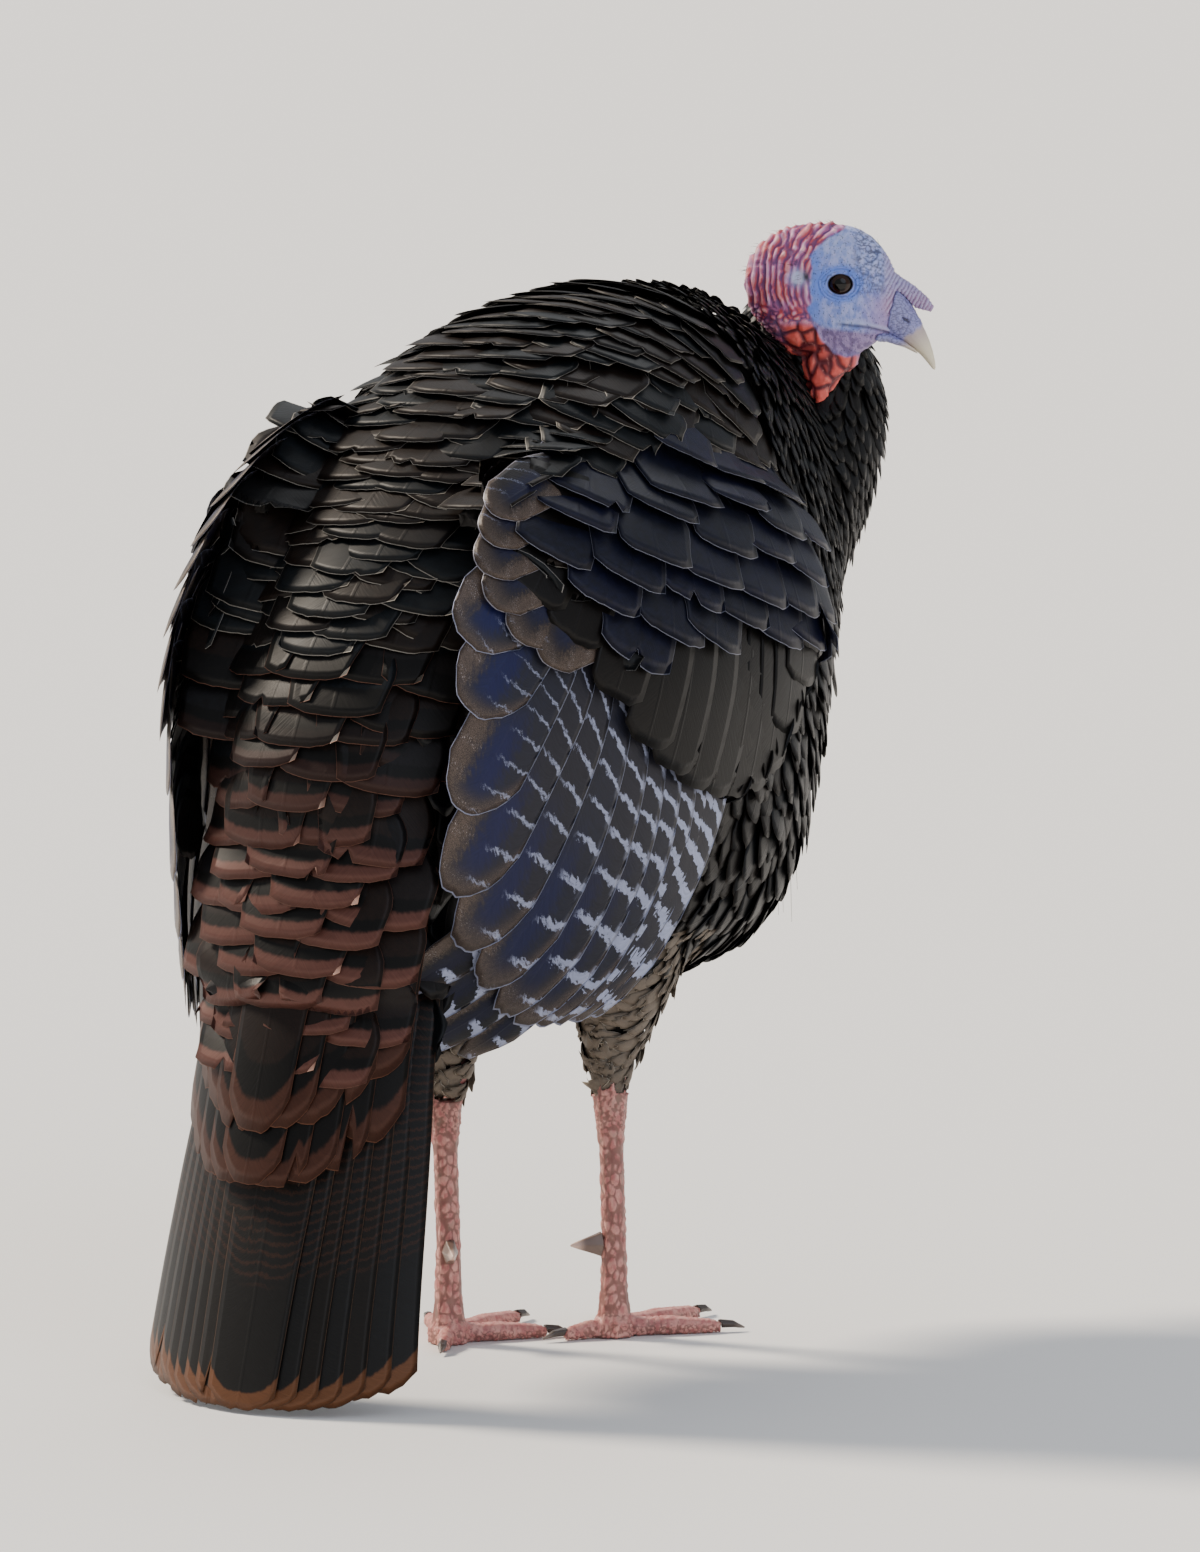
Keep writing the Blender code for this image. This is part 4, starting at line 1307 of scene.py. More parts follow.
@dataclass(frozen=True)
class HeadRelief:
    """The folds, caruncles and lids of the bare head, in its own millimetres."""

    eye: tuple[float, float] = (3.0, 2.0)
    opening: tuple[float, float] = (7.0, 5.7)
    eye_depth: float = 12.2
    eye_radius: float = 8.5
    lid: float = 0.8
    worm_centre: tuple[float, float] = (12.0, 3.0)
    worm_pitch: float = 3.8
    snood_pitch: float = 2.3
    # rings round the eye: where, how wide, in shares of the opening, and how high
    folds: tuple = ((1.13, 0.09, 0.65), (1.32, 0.07, -0.55), (1.48, 0.08, 0.55),
                    (1.64, 0.06, -0.45), (1.80, 0.08, 0.40), (1.96, 0.06, -0.4))
    # where the gape runs: ahead, and up
    gape_line: tuple = ((2.0, 20.0, 41.0), (-22.5, -24.6, -31.0))

    def apply(self, points: np.ndarray, normals: np.ndarray) -> tuple[np.ndarray, dict[str, np.ndarray]]:
        """Works out the relief.

        Args:
            points: The head skin's vertices in the frame.
            normals: Their normals.

        Returns:
            The moved vertices, and the zone numbers for the skin's finish.
        """
        local = head_local(points)
        ahead, up, aside = local.T
        rough, slow = soft_noise(local, 9.0, 9.0, 9.0), soft_noise(local, 11.0, 11.0, 11.0)
        quick = soft_noise(local + 40.0, 3.6, 3.6, 3.6)
        zones = self.zones(local, rough)
        red, wattle, crown, snood, ear = (zones[name] for name in ("Red", "Wattle", "crown", "snood", "ear"))
        beads = cell_noise(local, 3.9, 3.9, 3.9)
        lobes = cell_noise(local + 2.0 * slow[:, None], 10.5, 12.5, 10.0) ** 0.6
        pebbles = cell_noise(local, 1.5, 1.5, 1.5)
        cracks = cell_noise(local + 1.8 * quick[:, None], 4.2, 2.6, 5.0)
        along = ahead * 0.86 - up * 0.5 + 0.55 * quick + 0.5 * slow
        rings = 0.5 + 0.5 * np.sin(along * 2 * math.pi / self.snood_pitch)
        rings = rings * (0.75 + 0.5 * soft_noise(local, 3.0, 3.0, 3.0))
        # the caruncles break up into beads below the ear
        low = ramp(-7.0, -16.0, up + 3 * slow)
        ridge = self.worms(local, slow, quick) * (1 - low) + beads * low
        face = np.clip(1 - red - wattle - zones["Pouch"] - crown - snood, 0, 1)
        lift = (
            red * (1.95 * ridge - 0.7) * (1 - 0.35 * low)
            + crown * (0.22 * cracks - 0.1)
            + wattle * (2.4 * (0.85 * lobes + 0.15 * beads) - 1.0)
            + zones["Pouch"] * (0.18 * pebbles - 0.08)
            + face * (0.16 * cracks + 0.10 * pebbles - 0.12)
            + snood * (0.75 * rings - 0.3)
            + ear * 0.5
        )
        # the gape runs back from the bill, under the eye
        gape = up - np.interp(ahead, *self.gape_line)
        run = ramp(-2.0, 6.0, ahead) * ramp(44.0, 38.0, ahead)
        lift = lift + run * (0.45 * bump(gape, -1.4, 1.0) - 0.7 * bump(gape, 0.0, 0.7))
        eye_x, eye_y = (ahead - self.eye[0]) / self.opening[0], (up - self.eye[1]) / self.opening[1]
        ring = np.where(np.abs(aside) > 8.0, np.hypot(eye_x, eye_y), 9.0)
        around = ring + ramp(1.1, 1.5, ring) * (0.07 * rough + 0.05 * quick)
        folds = sum(height * bump(around, at, wide) for at, wide, height in self.folds)
        lift = lift * ramp(1.0, 2.0, ring) + folds * (0.75 + 0.5 * quick)
        raised = head_local(points + normals * lift[:, None] * MM)
        moved = self.lids(raised, ring, np.hypot(ahead - self.eye[0], up - self.eye[1]))
        tuft = bump(ahead, -17.5, 2.6) * bump(up, 6.5, 3.4) * ramp(-0.45, -0.05, quick)
        # painted shade in the two creases round each eye, which goes into the Dark zone
        shade = (0.5 * bump(around, 1.32, 0.06) + 0.35 * bump(around, 1.64, 0.05)) * (0.6 + quick)
        front = ramp(8.0, 16.0, ahead) * ramp(-8.0, -2.0, up)
        dark = ramp(1.16, 1.06, ring) + shade + tuft + run * 0.75 * bump(gape, 0.0, 0.8)
        pale = ear * 1.1 + crown * (0.2 + 0.3 * cracks) + snood * 0.6 * rings
        pale = pale + run * 0.5 * bump(gape, 2.0, 1.2)
        zones["Ridge"] = np.where(wattle > 0.4, lobes, ridge)
        zones["Pale"] = np.clip(pale, 0, 1)
        zones["Dark"] = np.clip(dark, 0, 1)
        zones["Blue"] = np.clip(bump(ring, 1.6, 0.5) + 0.8 * ramp(-4.0, -12.0, ahead) * (1 - red), 0, 1)
        zones["Crack"] = front * (0.75 * crown + 0.55 * face) * ramp(0.20, 0.02, cracks)
        zones["Crack"] = zones["Crack"] + snood * 0.5 * ramp(0.3, 0.05, rings)
        return head_frame(moved), {name: values for name, values in zones.items() if name[0].isupper()}

    def worms(self, local: np.ndarray, slow: np.ndarray, quick: np.ndarray) -> np.ndarray:
        """Draws the caruncles, which run like worms over the back of the head.

        Args:
            local: Places in the head's own millimetres.
            slow: Slow noise there, which bends them.
            quick: Quick noise there, which roughens them.

        Returns:
            Their height, from 0 between them to about 1.
        """
        ahead, up, aside = local.T
        centre = self.worm_centre
        radius = np.hypot(ahead - centre[0], (up - centre[1]) * 0.9) + 1.9 * slow + 0.7 * quick
        turn = np.arctan2(up - centre[1], centre[0] - ahead)
        worms = (0.5 + 0.5 * np.cos(radius * 2 * math.pi / self.worm_pitch)) ** 0.7
        cuts = soft_noise(np.stack((radius, turn * 30.0, aside * 0.5), -1), 2.6, 5.0, 8.0)
        return worms * (0.15 + 0.85 * ramp(-0.34, -0.10, cuts)) * (0.85 + 0.5 * quick)

    def lids(self, local: np.ndarray, ring: np.ndarray, radial: np.ndarray) -> np.ndarray:
        """Dips the lids to hug the eyeball, and opens them over it.

        Args:
            local: Places in the head's own millimetres.
            ring: How far each is from the eye's middle, in shares of its opening.
            radial: The same in millimetres.

        Returns:
            The moved places.
        """
        rim = np.minimum(radial / np.maximum(ring, 0.05), self.eye_radius * 0.97)
        ball = self.eye_depth + np.sqrt(self.eye_radius**2 - rim**2)
        outward_by = np.abs(local[:, 2])
        dip = np.clip(outward_by - ball - self.lid, 0.0, 3.0) * ramp(1.75, 1.02, ring)
        deep = self.eye_depth + np.sqrt(np.maximum(self.eye_radius**2 - radial**2, 0.0)) - 1.6
        inside = ramp(1.03, 0.95, ring)
        outward_by = (outward_by - dip) * (1 - inside) + deep * inside
        local[:, 2] = np.where(ring < 2.0, np.sign(local[:, 2]) * outward_by, local[:, 2])
        return local

    @staticmethod
    def zones(local: np.ndarray, rough: np.ndarray) -> dict[str, np.ndarray]:
        """Tells how much of each kind of skin there is at each place, from 0 to 1.

        Args:
            local: Places in the head's own millimetres.
            rough: Slow noise there, which makes the borders wander.

        Returns:
            The zones by name; those with a capital letter go on to the finish.
        """
        ahead, up, aside = local.T
        border = np.interp(up, (18.0, 24.0, 29.0, 35.0, 40.0), (-14.6, -12.0, -6.0, 5.0, 12.0))
        rear = ramp(1.4, -1.4, ahead - border + 3.2 * rough + 0.9 * soft_noise(local, 2.6, 2.6, 2.6))
        top_at = (-30.0, -18.0, -4.4, 7.0, 14.0, 22.0)
        top = np.interp(ahead, top_at, (-40.0, -38.0, -37.0, -42.0, -41.0, -37.0))
        throat = ramp(1.5, -1.5, up - top + 2.0 * rough) * ramp(22.0, 10.0, ahead)
        bag_at = (-46.0, -42.0, -36.0, -28.0, -20.0, -14.0)
        bag = np.interp(up, bag_at, (10.0, 2.0, -4.4, -10.0, -15.0, -17.0))
        neck_side = ramp(1.5, -1.5, ahead - bag + 1.5 * rough) * ramp(-18.0, -25.0, up + 3 * rough)
        wattle = np.maximum(throat, neck_side * ramp(-46.0, -26.0, ahead))
        gape = np.interp(ahead, (-14.0, -8.0, 31.0), (-20.0, -24.0, -30.0))
        below = ramp(1.5, -1.5, up - gape + rough)
        pouch = below * (1 - wattle) * ramp(40.0, 24.0, ahead) * ramp(-17.0, -13.0, ahead)
        snood = ramp(27.0, 33.0, ahead) * ramp(-22.0, -12.0, up)
        ear = np.clip(1.5 * bump(ahead, -22.5, 5.0) * bump(up, 6.0, 4.8), 0, 1) * (np.abs(aside) > 8)
        pink = ramp(10.0, 30.0, ahead) * ramp(2.0, -12.0, up) * 0.6 + snood * 0.55
        return {
            "Red": np.clip(rear * (1 - 0.9 * ear) * (1 - wattle), 0, 1),
            "Wattle": wattle,
            "Pouch": pouch,
            "Pink": np.clip(pink, 0, 1),
            "crown": ramp(12.0, 24.0, up + 0.4 * ahead) * (1 - rear) * (1 - snood),
            "snood": snood,
            "ear": ear,
        }


@dataclass(frozen=True)
class LegRelief:
    """The plates of the legs: large on the shank, crosswise on the toes."""

    feet: tuple = ((0.035, 0.038), (-0.035, -0.036))
    toes: tuple[float, ...] = (4.0, -38.0, 44.0, -152.0)
    shank_radius: float = 8.6
    plate: tuple[float, float] = (5.4, 7.0)
    toe_plate: float = 3.6
    height: float = 0.75

    def apply(self, points: np.ndarray, normals: np.ndarray) -> tuple[np.ndarray, np.ndarray]:
        """Works out the relief.

        Args:
            points: The leg skin's vertices in the frame.
            normals: Their normals.

        Returns:
            The moved vertices, and the height of the plates from 0 to 1.
        """
        bird = to_bird(points)
        plates = np.ones(len(points))
        for side, foot in zip((1, -1), self.feet):
            mine = np.flatnonzero(np.sign(bird[:, 0]) == side)
            flat = bird[mine, :2] - foot
            up = bird[mine, 2] / MM
            away = np.linalg.norm(flat, axis=1) / MM
            turn = np.arctan2(flat[:, 0], flat[:, 1])
            round_it = turn * self.shank_radius
            apart = np.full(len(mine), 3.0 * side)
            shank = np.stack((round_it / self.plate[0], up / self.plate[1], apart), -1)
            small = cell_noise(np.stack((round_it, up, away), -1), 3.0, 3.2, 4.0)
            hock = ramp(118.0, 132.0, up)
            high = cell_noise(shank, 1.0, 1.0, 1.0) * (1 - hock) + small * hock
            gaps = [np.abs((np.degrees(turn) * side - toe + 180) % 360 - 180) for toe in self.toes]
            across = 0.5 + 0.5 * np.sin(away * 2 * math.pi / self.toe_plate)
            top = ramp(0.2, 0.7, normals[mine, 2])
            pads = cell_noise(bird[mine] / MM, 2.6, 2.6, 2.6)
            low = np.where(np.min(gaps, axis=0) < 90, (across**0.35) * top + pads * (1 - top), pads)
            toe = np.maximum(ramp(18.0, 12.0, up), ramp(13.0, 17.0, away) * ramp(40.0, 30.0, up))
            plates[mine] = high * (1 - toe) + low * toe
        return points + normals * ((plates - 0.6) * self.height * MM)[:, None], plates


@dataclass
class Skin:
    """One closed skin from head to toes, inside the solids by the depth of the plumage."""

    body_voxel: float = 0.007
    head_voxel: float = 0.0009
    leg_voxel: float = 0.0013
    neck_voxel: float = 0.0035
    depth: float = 0.009
    neck_depth: float = 0.006
    bare_neck: float = 0.072
    # how far the relief of the bare head reaches from its solids, fading over the last part
    bare_reach: tuple[float, float] = (0.0015, 0.004)
    leg_top: float = 0.168

    def build(self) -> bpy.types.Object:
        """Makes the skin, with its relief and zones."""
        body = merged("skin", [copy_of(node) for node in SKIN_NODES], self.body_voxel, 3)
        set_points(body, points_of(body) - normals_of(body) * self.depth * self.thinness(body)[:, None])
        head = self.head()
        legs = merged("legs", [copy_of(node) for node in LEG_NODES], self.leg_voxel, 1)
        boolean(body, head, "UNION")
        boolean(body, legs, "UNION")
        self.refine_lids(body)
        self.relief(body)
        seat(body, "head_skin", *SKIN_NODES, *LEG_NODES, *HEAD_NODES)
        LOG.info("skin: %d faces", len(body.data.polygons))
        return body

    @staticmethod
    def thinness(body: bpy.types.Object) -> np.ndarray:
        """Makes the plumage thinner towards the hocks and the head."""
        bird = to_bird(points_of(body))
        to_head = np.linalg.norm(bird - np.array(HEAD_AT), axis=1)
        return np.minimum(ramp(0.13, 0.22, bird[:, 2]) * 0.75 + 0.25, ramp(0.03, 0.09, to_head) * 0.8 + 0.2)

    def head(self) -> bpy.types.Object:
        """Makes the head and the top of the neck, with fine faces."""
        bpy.ops.object.select_all(action="DESELECT")
        at = to_frame(np.array(HEAD_AT))
        bpy.ops.mesh.primitive_ico_sphere_add(subdivisions=4, radius=self.bare_neck, location=at)
        ball = bpy.context.object
        bpy.ops.object.transform_apply(location=True)
        neck = merged("neck_top", [copy_of("neck")], self.neck_voxel, 0)
        boolean(neck, ball, "INTERSECT")
        flesh = [neck] + [self.plug(side) for side in (1, -1)] + [self.mouth()]
        flesh = [copy_of(node) for node in HEAD_NODES] + flesh
        made = merged("head_skin", flesh, self.head_voxel, 2)
        points = points_of(made)
        feathered = ramp(0.001, 0.008, flesh_gap(points))
        set_points(made, points - normals_of(made) * (self.neck_depth * feathered)[:, None])
        return made

    @staticmethod
    def plug(side: int) -> bpy.types.Object:
        """Fills one eye socket, level with the cheek."""
        return sphere(9.0 * MM, head_frame(np.array((3.0, 2.0, side * 11.6))))

    @staticmethod
    def mouth() -> bpy.types.Object:
        """Fills the corner of the mouth, where skin joins both halves of the bill."""
        made = sphere(1.0)
        ahead, up, aside = (points_of(made) * (11.0, 3.4, 7.4)).T
        set_points(made, head_frame(np.stack((ahead + 30.0, up - 0.30 * ahead - 26.6, aside), -1)))
        face_outwards(made)
        return made

    def relief(self, skin: bpy.types.Object) -> None:
        """Adds folds and zones to head and legs, and gives each part its finish."""
        points, normals = points_of(skin), normals_of(skin)
        near = np.linalg.norm(head_local(points), axis=1) < 95.0
        away = np.full(len(points), 1.0)
        away[near] = flesh_gap(points[near])
        bare = away < self.bare_reach[1]
        moved, numbers = HeadRelief().apply(points[bare], normals[bare])
        fade = ramp(self.bare_reach[1], self.bare_reach[0], away[bare])[:, None]
        points[bare] = points[bare] * (1 - fade) + moved * fade
        leg = ~near & (points[:, 2] < 0.18)
        points[leg], plates = LegRelief().apply(points[leg], normals[leg])
        set_points(skin, points)
        for name, values, where in [(*item, bare) for item in numbers.items()] + [("Plate", plates, leg)]:
            whole = np.zeros(len(points))
            whole[where] = values
            put_number(skin, name, whole)
        skin.data.materials.clear()
        for finish in (Plain("down_under_the_plumage", "#0D0B0A", "#1A1512"), BareSkin(), LegSkin()):
            skin.data.materials.append(finish.material())
        starts = got(skin.data.polygons, "loop_start", np.int32)
        first = got(skin.data.loops, "vertex_index", np.int32)[starts]
        slots = np.where(bare[first], 1, np.where(points[first, 2] < self.leg_top, 2, 0))
        skin.data.polygons.foreach_set("material_index", slots.astype(np.int32))
        skin.data.update()

    @staticmethod
    def refine_lids(skin: bpy.types.Object) -> None:
        """Divides the faces round the eyes."""
        mesh = bmesh.new()
        mesh.from_mesh(skin.data)
        local = head_local(points_of(skin))
        aside = np.abs(local[:, 2])
        close = (np.hypot(local[:, 0] - 3.0, local[:, 1] - 2.0) < 14.5) & (aside > 8.0) & (aside < 26.0)
        edges = [edge for edge in mesh.edges if close[edge.verts[0].index] and close[edge.verts[1].index]]
        bmesh.ops.subdivide_edges(mesh, edges=edges, cuts=1, use_grid_fill=True)
        mesh.to_mesh(skin.data)
        mesh.free()
        skin.data.shade_smooth()


def within(value: np.ndarray, low: object, high: object) -> np.ndarray:
    """Tells which values lie between two bounds."""
    return (value > low) & (value < high)


def from_lines(bird: np.ndarray, *feet: tuple[float, float]) -> np.ndarray:
    """Measures how far each place is from the nearest of these upright lines."""
    return np.min([np.linalg.norm(bird[:, :2] - foot, axis=1) for foot in feet], axis=0)


@dataclass
class Plumage:
    """The contour feathers of neck, back, breast, belly, wing pads and thighs."""

    bed_voxel: float = 0.005

    def bed(self) -> Surface:
        """Makes the smooth outer face that the feathers lie on."""
        made = merged("bed", [copy_of(node) for node in BED_NODES] + [self.filler()], self.bed_voxel, 8)
        surface = Surface(made)
        bpy.data.objects.remove(made)
        return surface

    @staticmethod
    def filler() -> bpy.types.Object:
        """Makes the cushion that carries the back's feathers across to the left wing."""
        cushion = sphere(1.0)
        ball = points_of(cushion)
        down = unit(np.array((-0.115, -0.25)))
        rear = np.array((down[1], -down[0]))
        flat = ball[:, 2:3] * 0.155 * down + ball[:, 1:2] * 0.052 * rear + np.array((-0.160, 0.425))
        set_points(cushion, to_frame(np.column_stack((ball[:, 0] * 0.044 - 0.080, flat))))
        return cushion

    @staticmethod
    def saddle(bird: np.ndarray) -> np.ndarray:
        """Tells which places lie between the back and the left wing."""
        right, ahead, up = bird.T
        return within(right, -0.115, -0.02) & (ahead < -0.125) & within(up, 0.25, 0.57)

    def hidden(self, bird: np.ndarray) -> np.ndarray:
        """Tells which places lie under the folded wings."""
        right, ahead, up = np.abs(bird[:, 0]), bird[:, 1], bird[:, 2]
        front = np.interp(up, (0.23, 0.34, 0.38, 0.43, 0.47), (-0.10, -0.035, 0.03, 0.06, 0.05))
        shell = np.abs(WingFace(1).at(bird[:, 1:], np.zeros(len(bird)))[:, 0])
        inside = within(ahead, -0.185, front) & within(up, 0.235, 0.47)
        deep = within(right, np.where(up > 0.38, 0.088, 0.07), shell + 0.02)
        return ~self.saddle(bird) & inside & deep & ((ahead > -0.15) | (up < 0.42))

    @staticmethod
    def pad(bird: np.ndarray) -> np.ndarray:
        """Tells which places lie on the coverts of the wings."""
        right, ahead, up = bird.T
        low_at = (-0.15, -0.125, -0.10, -0.075, -0.05, -0.02, 0.04, 0.075, 0.125)
        low = np.interp(ahead, low_at, (0.53, 0.50, 0.475, 0.468, 0.478, 0.487, 0.487, 0.465, 0.44))
        high = np.interp(ahead, (-0.15, -0.06, 0.02, 0.09, 0.125), (0.545, 0.580, 0.585, 0.565, 0.53))
        return within(ahead, -0.135, 0.125) & within(up, low, high) & (np.abs(right) > 0.088)

    @staticmethod
    def neck(bird: np.ndarray) -> np.ndarray:
        """Tells which places lie on the feathered neck."""
        ahead, up = bird[:, 1], bird[:, 2]
        return (up > 0.445 + np.maximum(0.0, 0.20 - ahead) * 1.1) & (ahead > 0.13)

    @staticmethod
    def rump(bird: np.ndarray) -> np.ndarray:
        """Tells which places lie on the rump and the coverts of the tail."""
        right, ahead, up = bird.T
        low = np.interp(up, (0.24, 0.34, 0.385, 0.42), (-0.060, -0.056, -0.058, -0.078))
        high = np.interp(up, (0.26, 0.36, 0.45), (0.054, 0.060, 0.074))
        return (ahead < -0.13) & within(up, 0.240, 0.47) & within(right, low, high)

    def upper(self, bird: np.ndarray) -> np.ndarray:
        """Tells which places belong to the neck, the wing pads or what the wings hide."""
        return self.neck(bird) | self.pad(bird) | self.hidden(bird)

    def back(self, bird: np.ndarray) -> np.ndarray:
        """Tells which places lie on the mantle and the back."""
        ahead, up = bird[:, 1], bird[:, 2]
        high = (up > 0.40) & (up > 0.46 - (ahead + 0.28) * 0.1)
        return ~self.upper(bird) & ~self.rump(bird) & high & (ahead < 0.16)

    def breast(self, bird: np.ndarray) -> np.ndarray:
        """Tells which places lie on the breast and in front of the wings."""
        return ~self.upper(bird) & ~self.back(bird) & (bird[:, 2] > 0.24) & (bird[:, 1] > -0.02)

    def belly(self, bird: np.ndarray) -> np.ndarray:
        """Tells which places lie on the belly, the flanks and the vent."""
        ahead, up = bird[:, 1], bird[:, 2]
        other = self.breast(bird) | self.pad(bird) | self.back(bird) | self.hidden(bird)
        other = other | self.rump(bird) | self.saddle(bird)
        leg = (from_lines(bird, (0.05, 0.038), (-0.05, -0.036)) < 0.06) & (up < 0.235)
        return ~other & within(up, 0.17, 0.45) & ~leg & (ahead > -0.2)

    @staticmethod
    def thigh(bird: np.ndarray) -> np.ndarray:
        """Tells which places lie on the feathered shins."""
        leg = from_lines(bird, (0.043, 0.036), (-0.043, -0.038)) < 0.065
        return leg & within(bird[:, 2], 0.146, 0.25)

    @staticmethod
    def redness(bird: np.ndarray) -> np.ndarray:
        """Tells how far down the rump a feather grows, from 0 to 1."""
        return np.clip((0.46 - bird[:, 2]) / 0.20, 0, 1)

    def tracts(self) -> tuple[Tract, ...]:
        """Lists the tracts: which feathers grow where."""
        black = VaneFinish("black_breast_vane", glint_a="#1C1410", glint_b="#101820", edge="#2A2420")
        # the mantle's pale grey edges stand partly for the feathers' fringes and partly for painted highlight
        # where the edges catch the light
        mantle = VaneFinish(
            "bronze_black_mantle_vane", base="#070606", glint_a="#2A1A10", glint_b="#0E1C24",
            edge="#97948F", edge_width=0.6, roughness=0.49,
        )
        ruff = VaneFinish(
            "black_neck_vane", glint_a="#17120F", glint_b="#10141A", edge="#191514", length=26.0, width=11.0,
        )
        pads = VaneFinish(
            "violet_black_covert_vane", base="#08080A", glint_a="#15193A", glint_b="#1A1E34",
            edge="#8C90A4", edge_width=0.7, glint=0.8, length=64.0, width=61.0,
        )
        shin = VaneFinish(
            "grey_brown_shin_vane", base="#6A5F53", glint_a="#8A7E70", glint_b="#746A5E", edge="#C4BAAA",
            length=26.0, width=13.0, metallic=0.0, roughness=0.6,
        )
        copper = CopperVane(
            "copper_tipped_covert_vane", base="#080606", edge="#6E4C40", edge_width=0.5,
            length=56.0, width=65.0, metallic=0.25, roughness=0.47,
        )
        wide = Vane(
            0.056, 0.0325, 14, 9, round_off=0.10, squareness=2.8, thickness=0.0005,
            crown=0.05, ragged=0.008, splits=0.2,
        )
        broad = Vane(
            0.050, 0.0290, 12, 8, round_off=0.12, squareness=2.5, thickness=0.0005, crown=0.08, ragged=0.012,
        )
        square = Vane(
            0.064, 0.0305, 12, 8, round_off=0.08, squareness=3.6, thickness=0.0005,
            crown=0.04, ragged=0.010, splits=0.3,
        )
        small = Vane(0.040, 0.0135, 6, 7, round_off=0.22, squareness=2.4)
        fine = Vane(0.026, 0.0058, 4, 5, round_off=0.30, squareness=1.6, ragged=0.05)
        hairy = Vane(0.027, 0.0052, 6, 5, round_off=0.30, squareness=1.6, ragged=0.16, splits=1.5)
        body, wings, tail, legs = "body_feathers", "flight_feathers", "tail_feathers", "thigh_feathers"
        many, most = {"candidates": 40000}, {"candidates": 60000}
        back = {"rows": back_rows, "overlap": 0.075}
        wing = {"rows": wing_rows, "overlap": 0.05}
        rump = {**back, "order": self.redness, "steepest": 0.90}
        table = (
            (body, "neck_feathers", fine, ruff, self.neck, 11, (0.0055, 0.0070, 0.005, 0.0015), most),
            (body, "back_feathers", broad, mantle, self.back, 12, (0.0115, 0.0330, 0.008, 0.0024), back),
            (body, "breast_feathers", small, black, self.breast, 13, (0.0085, 0.015, 0.007, 0.0015), many),
            (body, "belly_feathers", small, black, self.belly, 14, (0.011, 0.017, 0.007, 0.0015), many),
            (wings, "wing_covert_feathers", square, pads, self.pad, 15, (0.0185, 0.042, 0.006, 0.0088), wing),
            (tail, "rump_feathers", wide, copper, self.rump, 16, (0.0165, 0.0370, 0.008, 0.0030), rump),
            (legs, "shin_feathers", hairy, shin, self.thigh, 17, (0.0062, 0.0078, 0.004, 0.0012), most),
        )
        return tuple(Tract(*row, *numbers, **more) for *row, numbers, more in table)

    def build(self) -> None:
        """Makes all the tracts on one bed."""
        surface = self.bed()
        for tract in self.tracts():
            tract.build(surface)


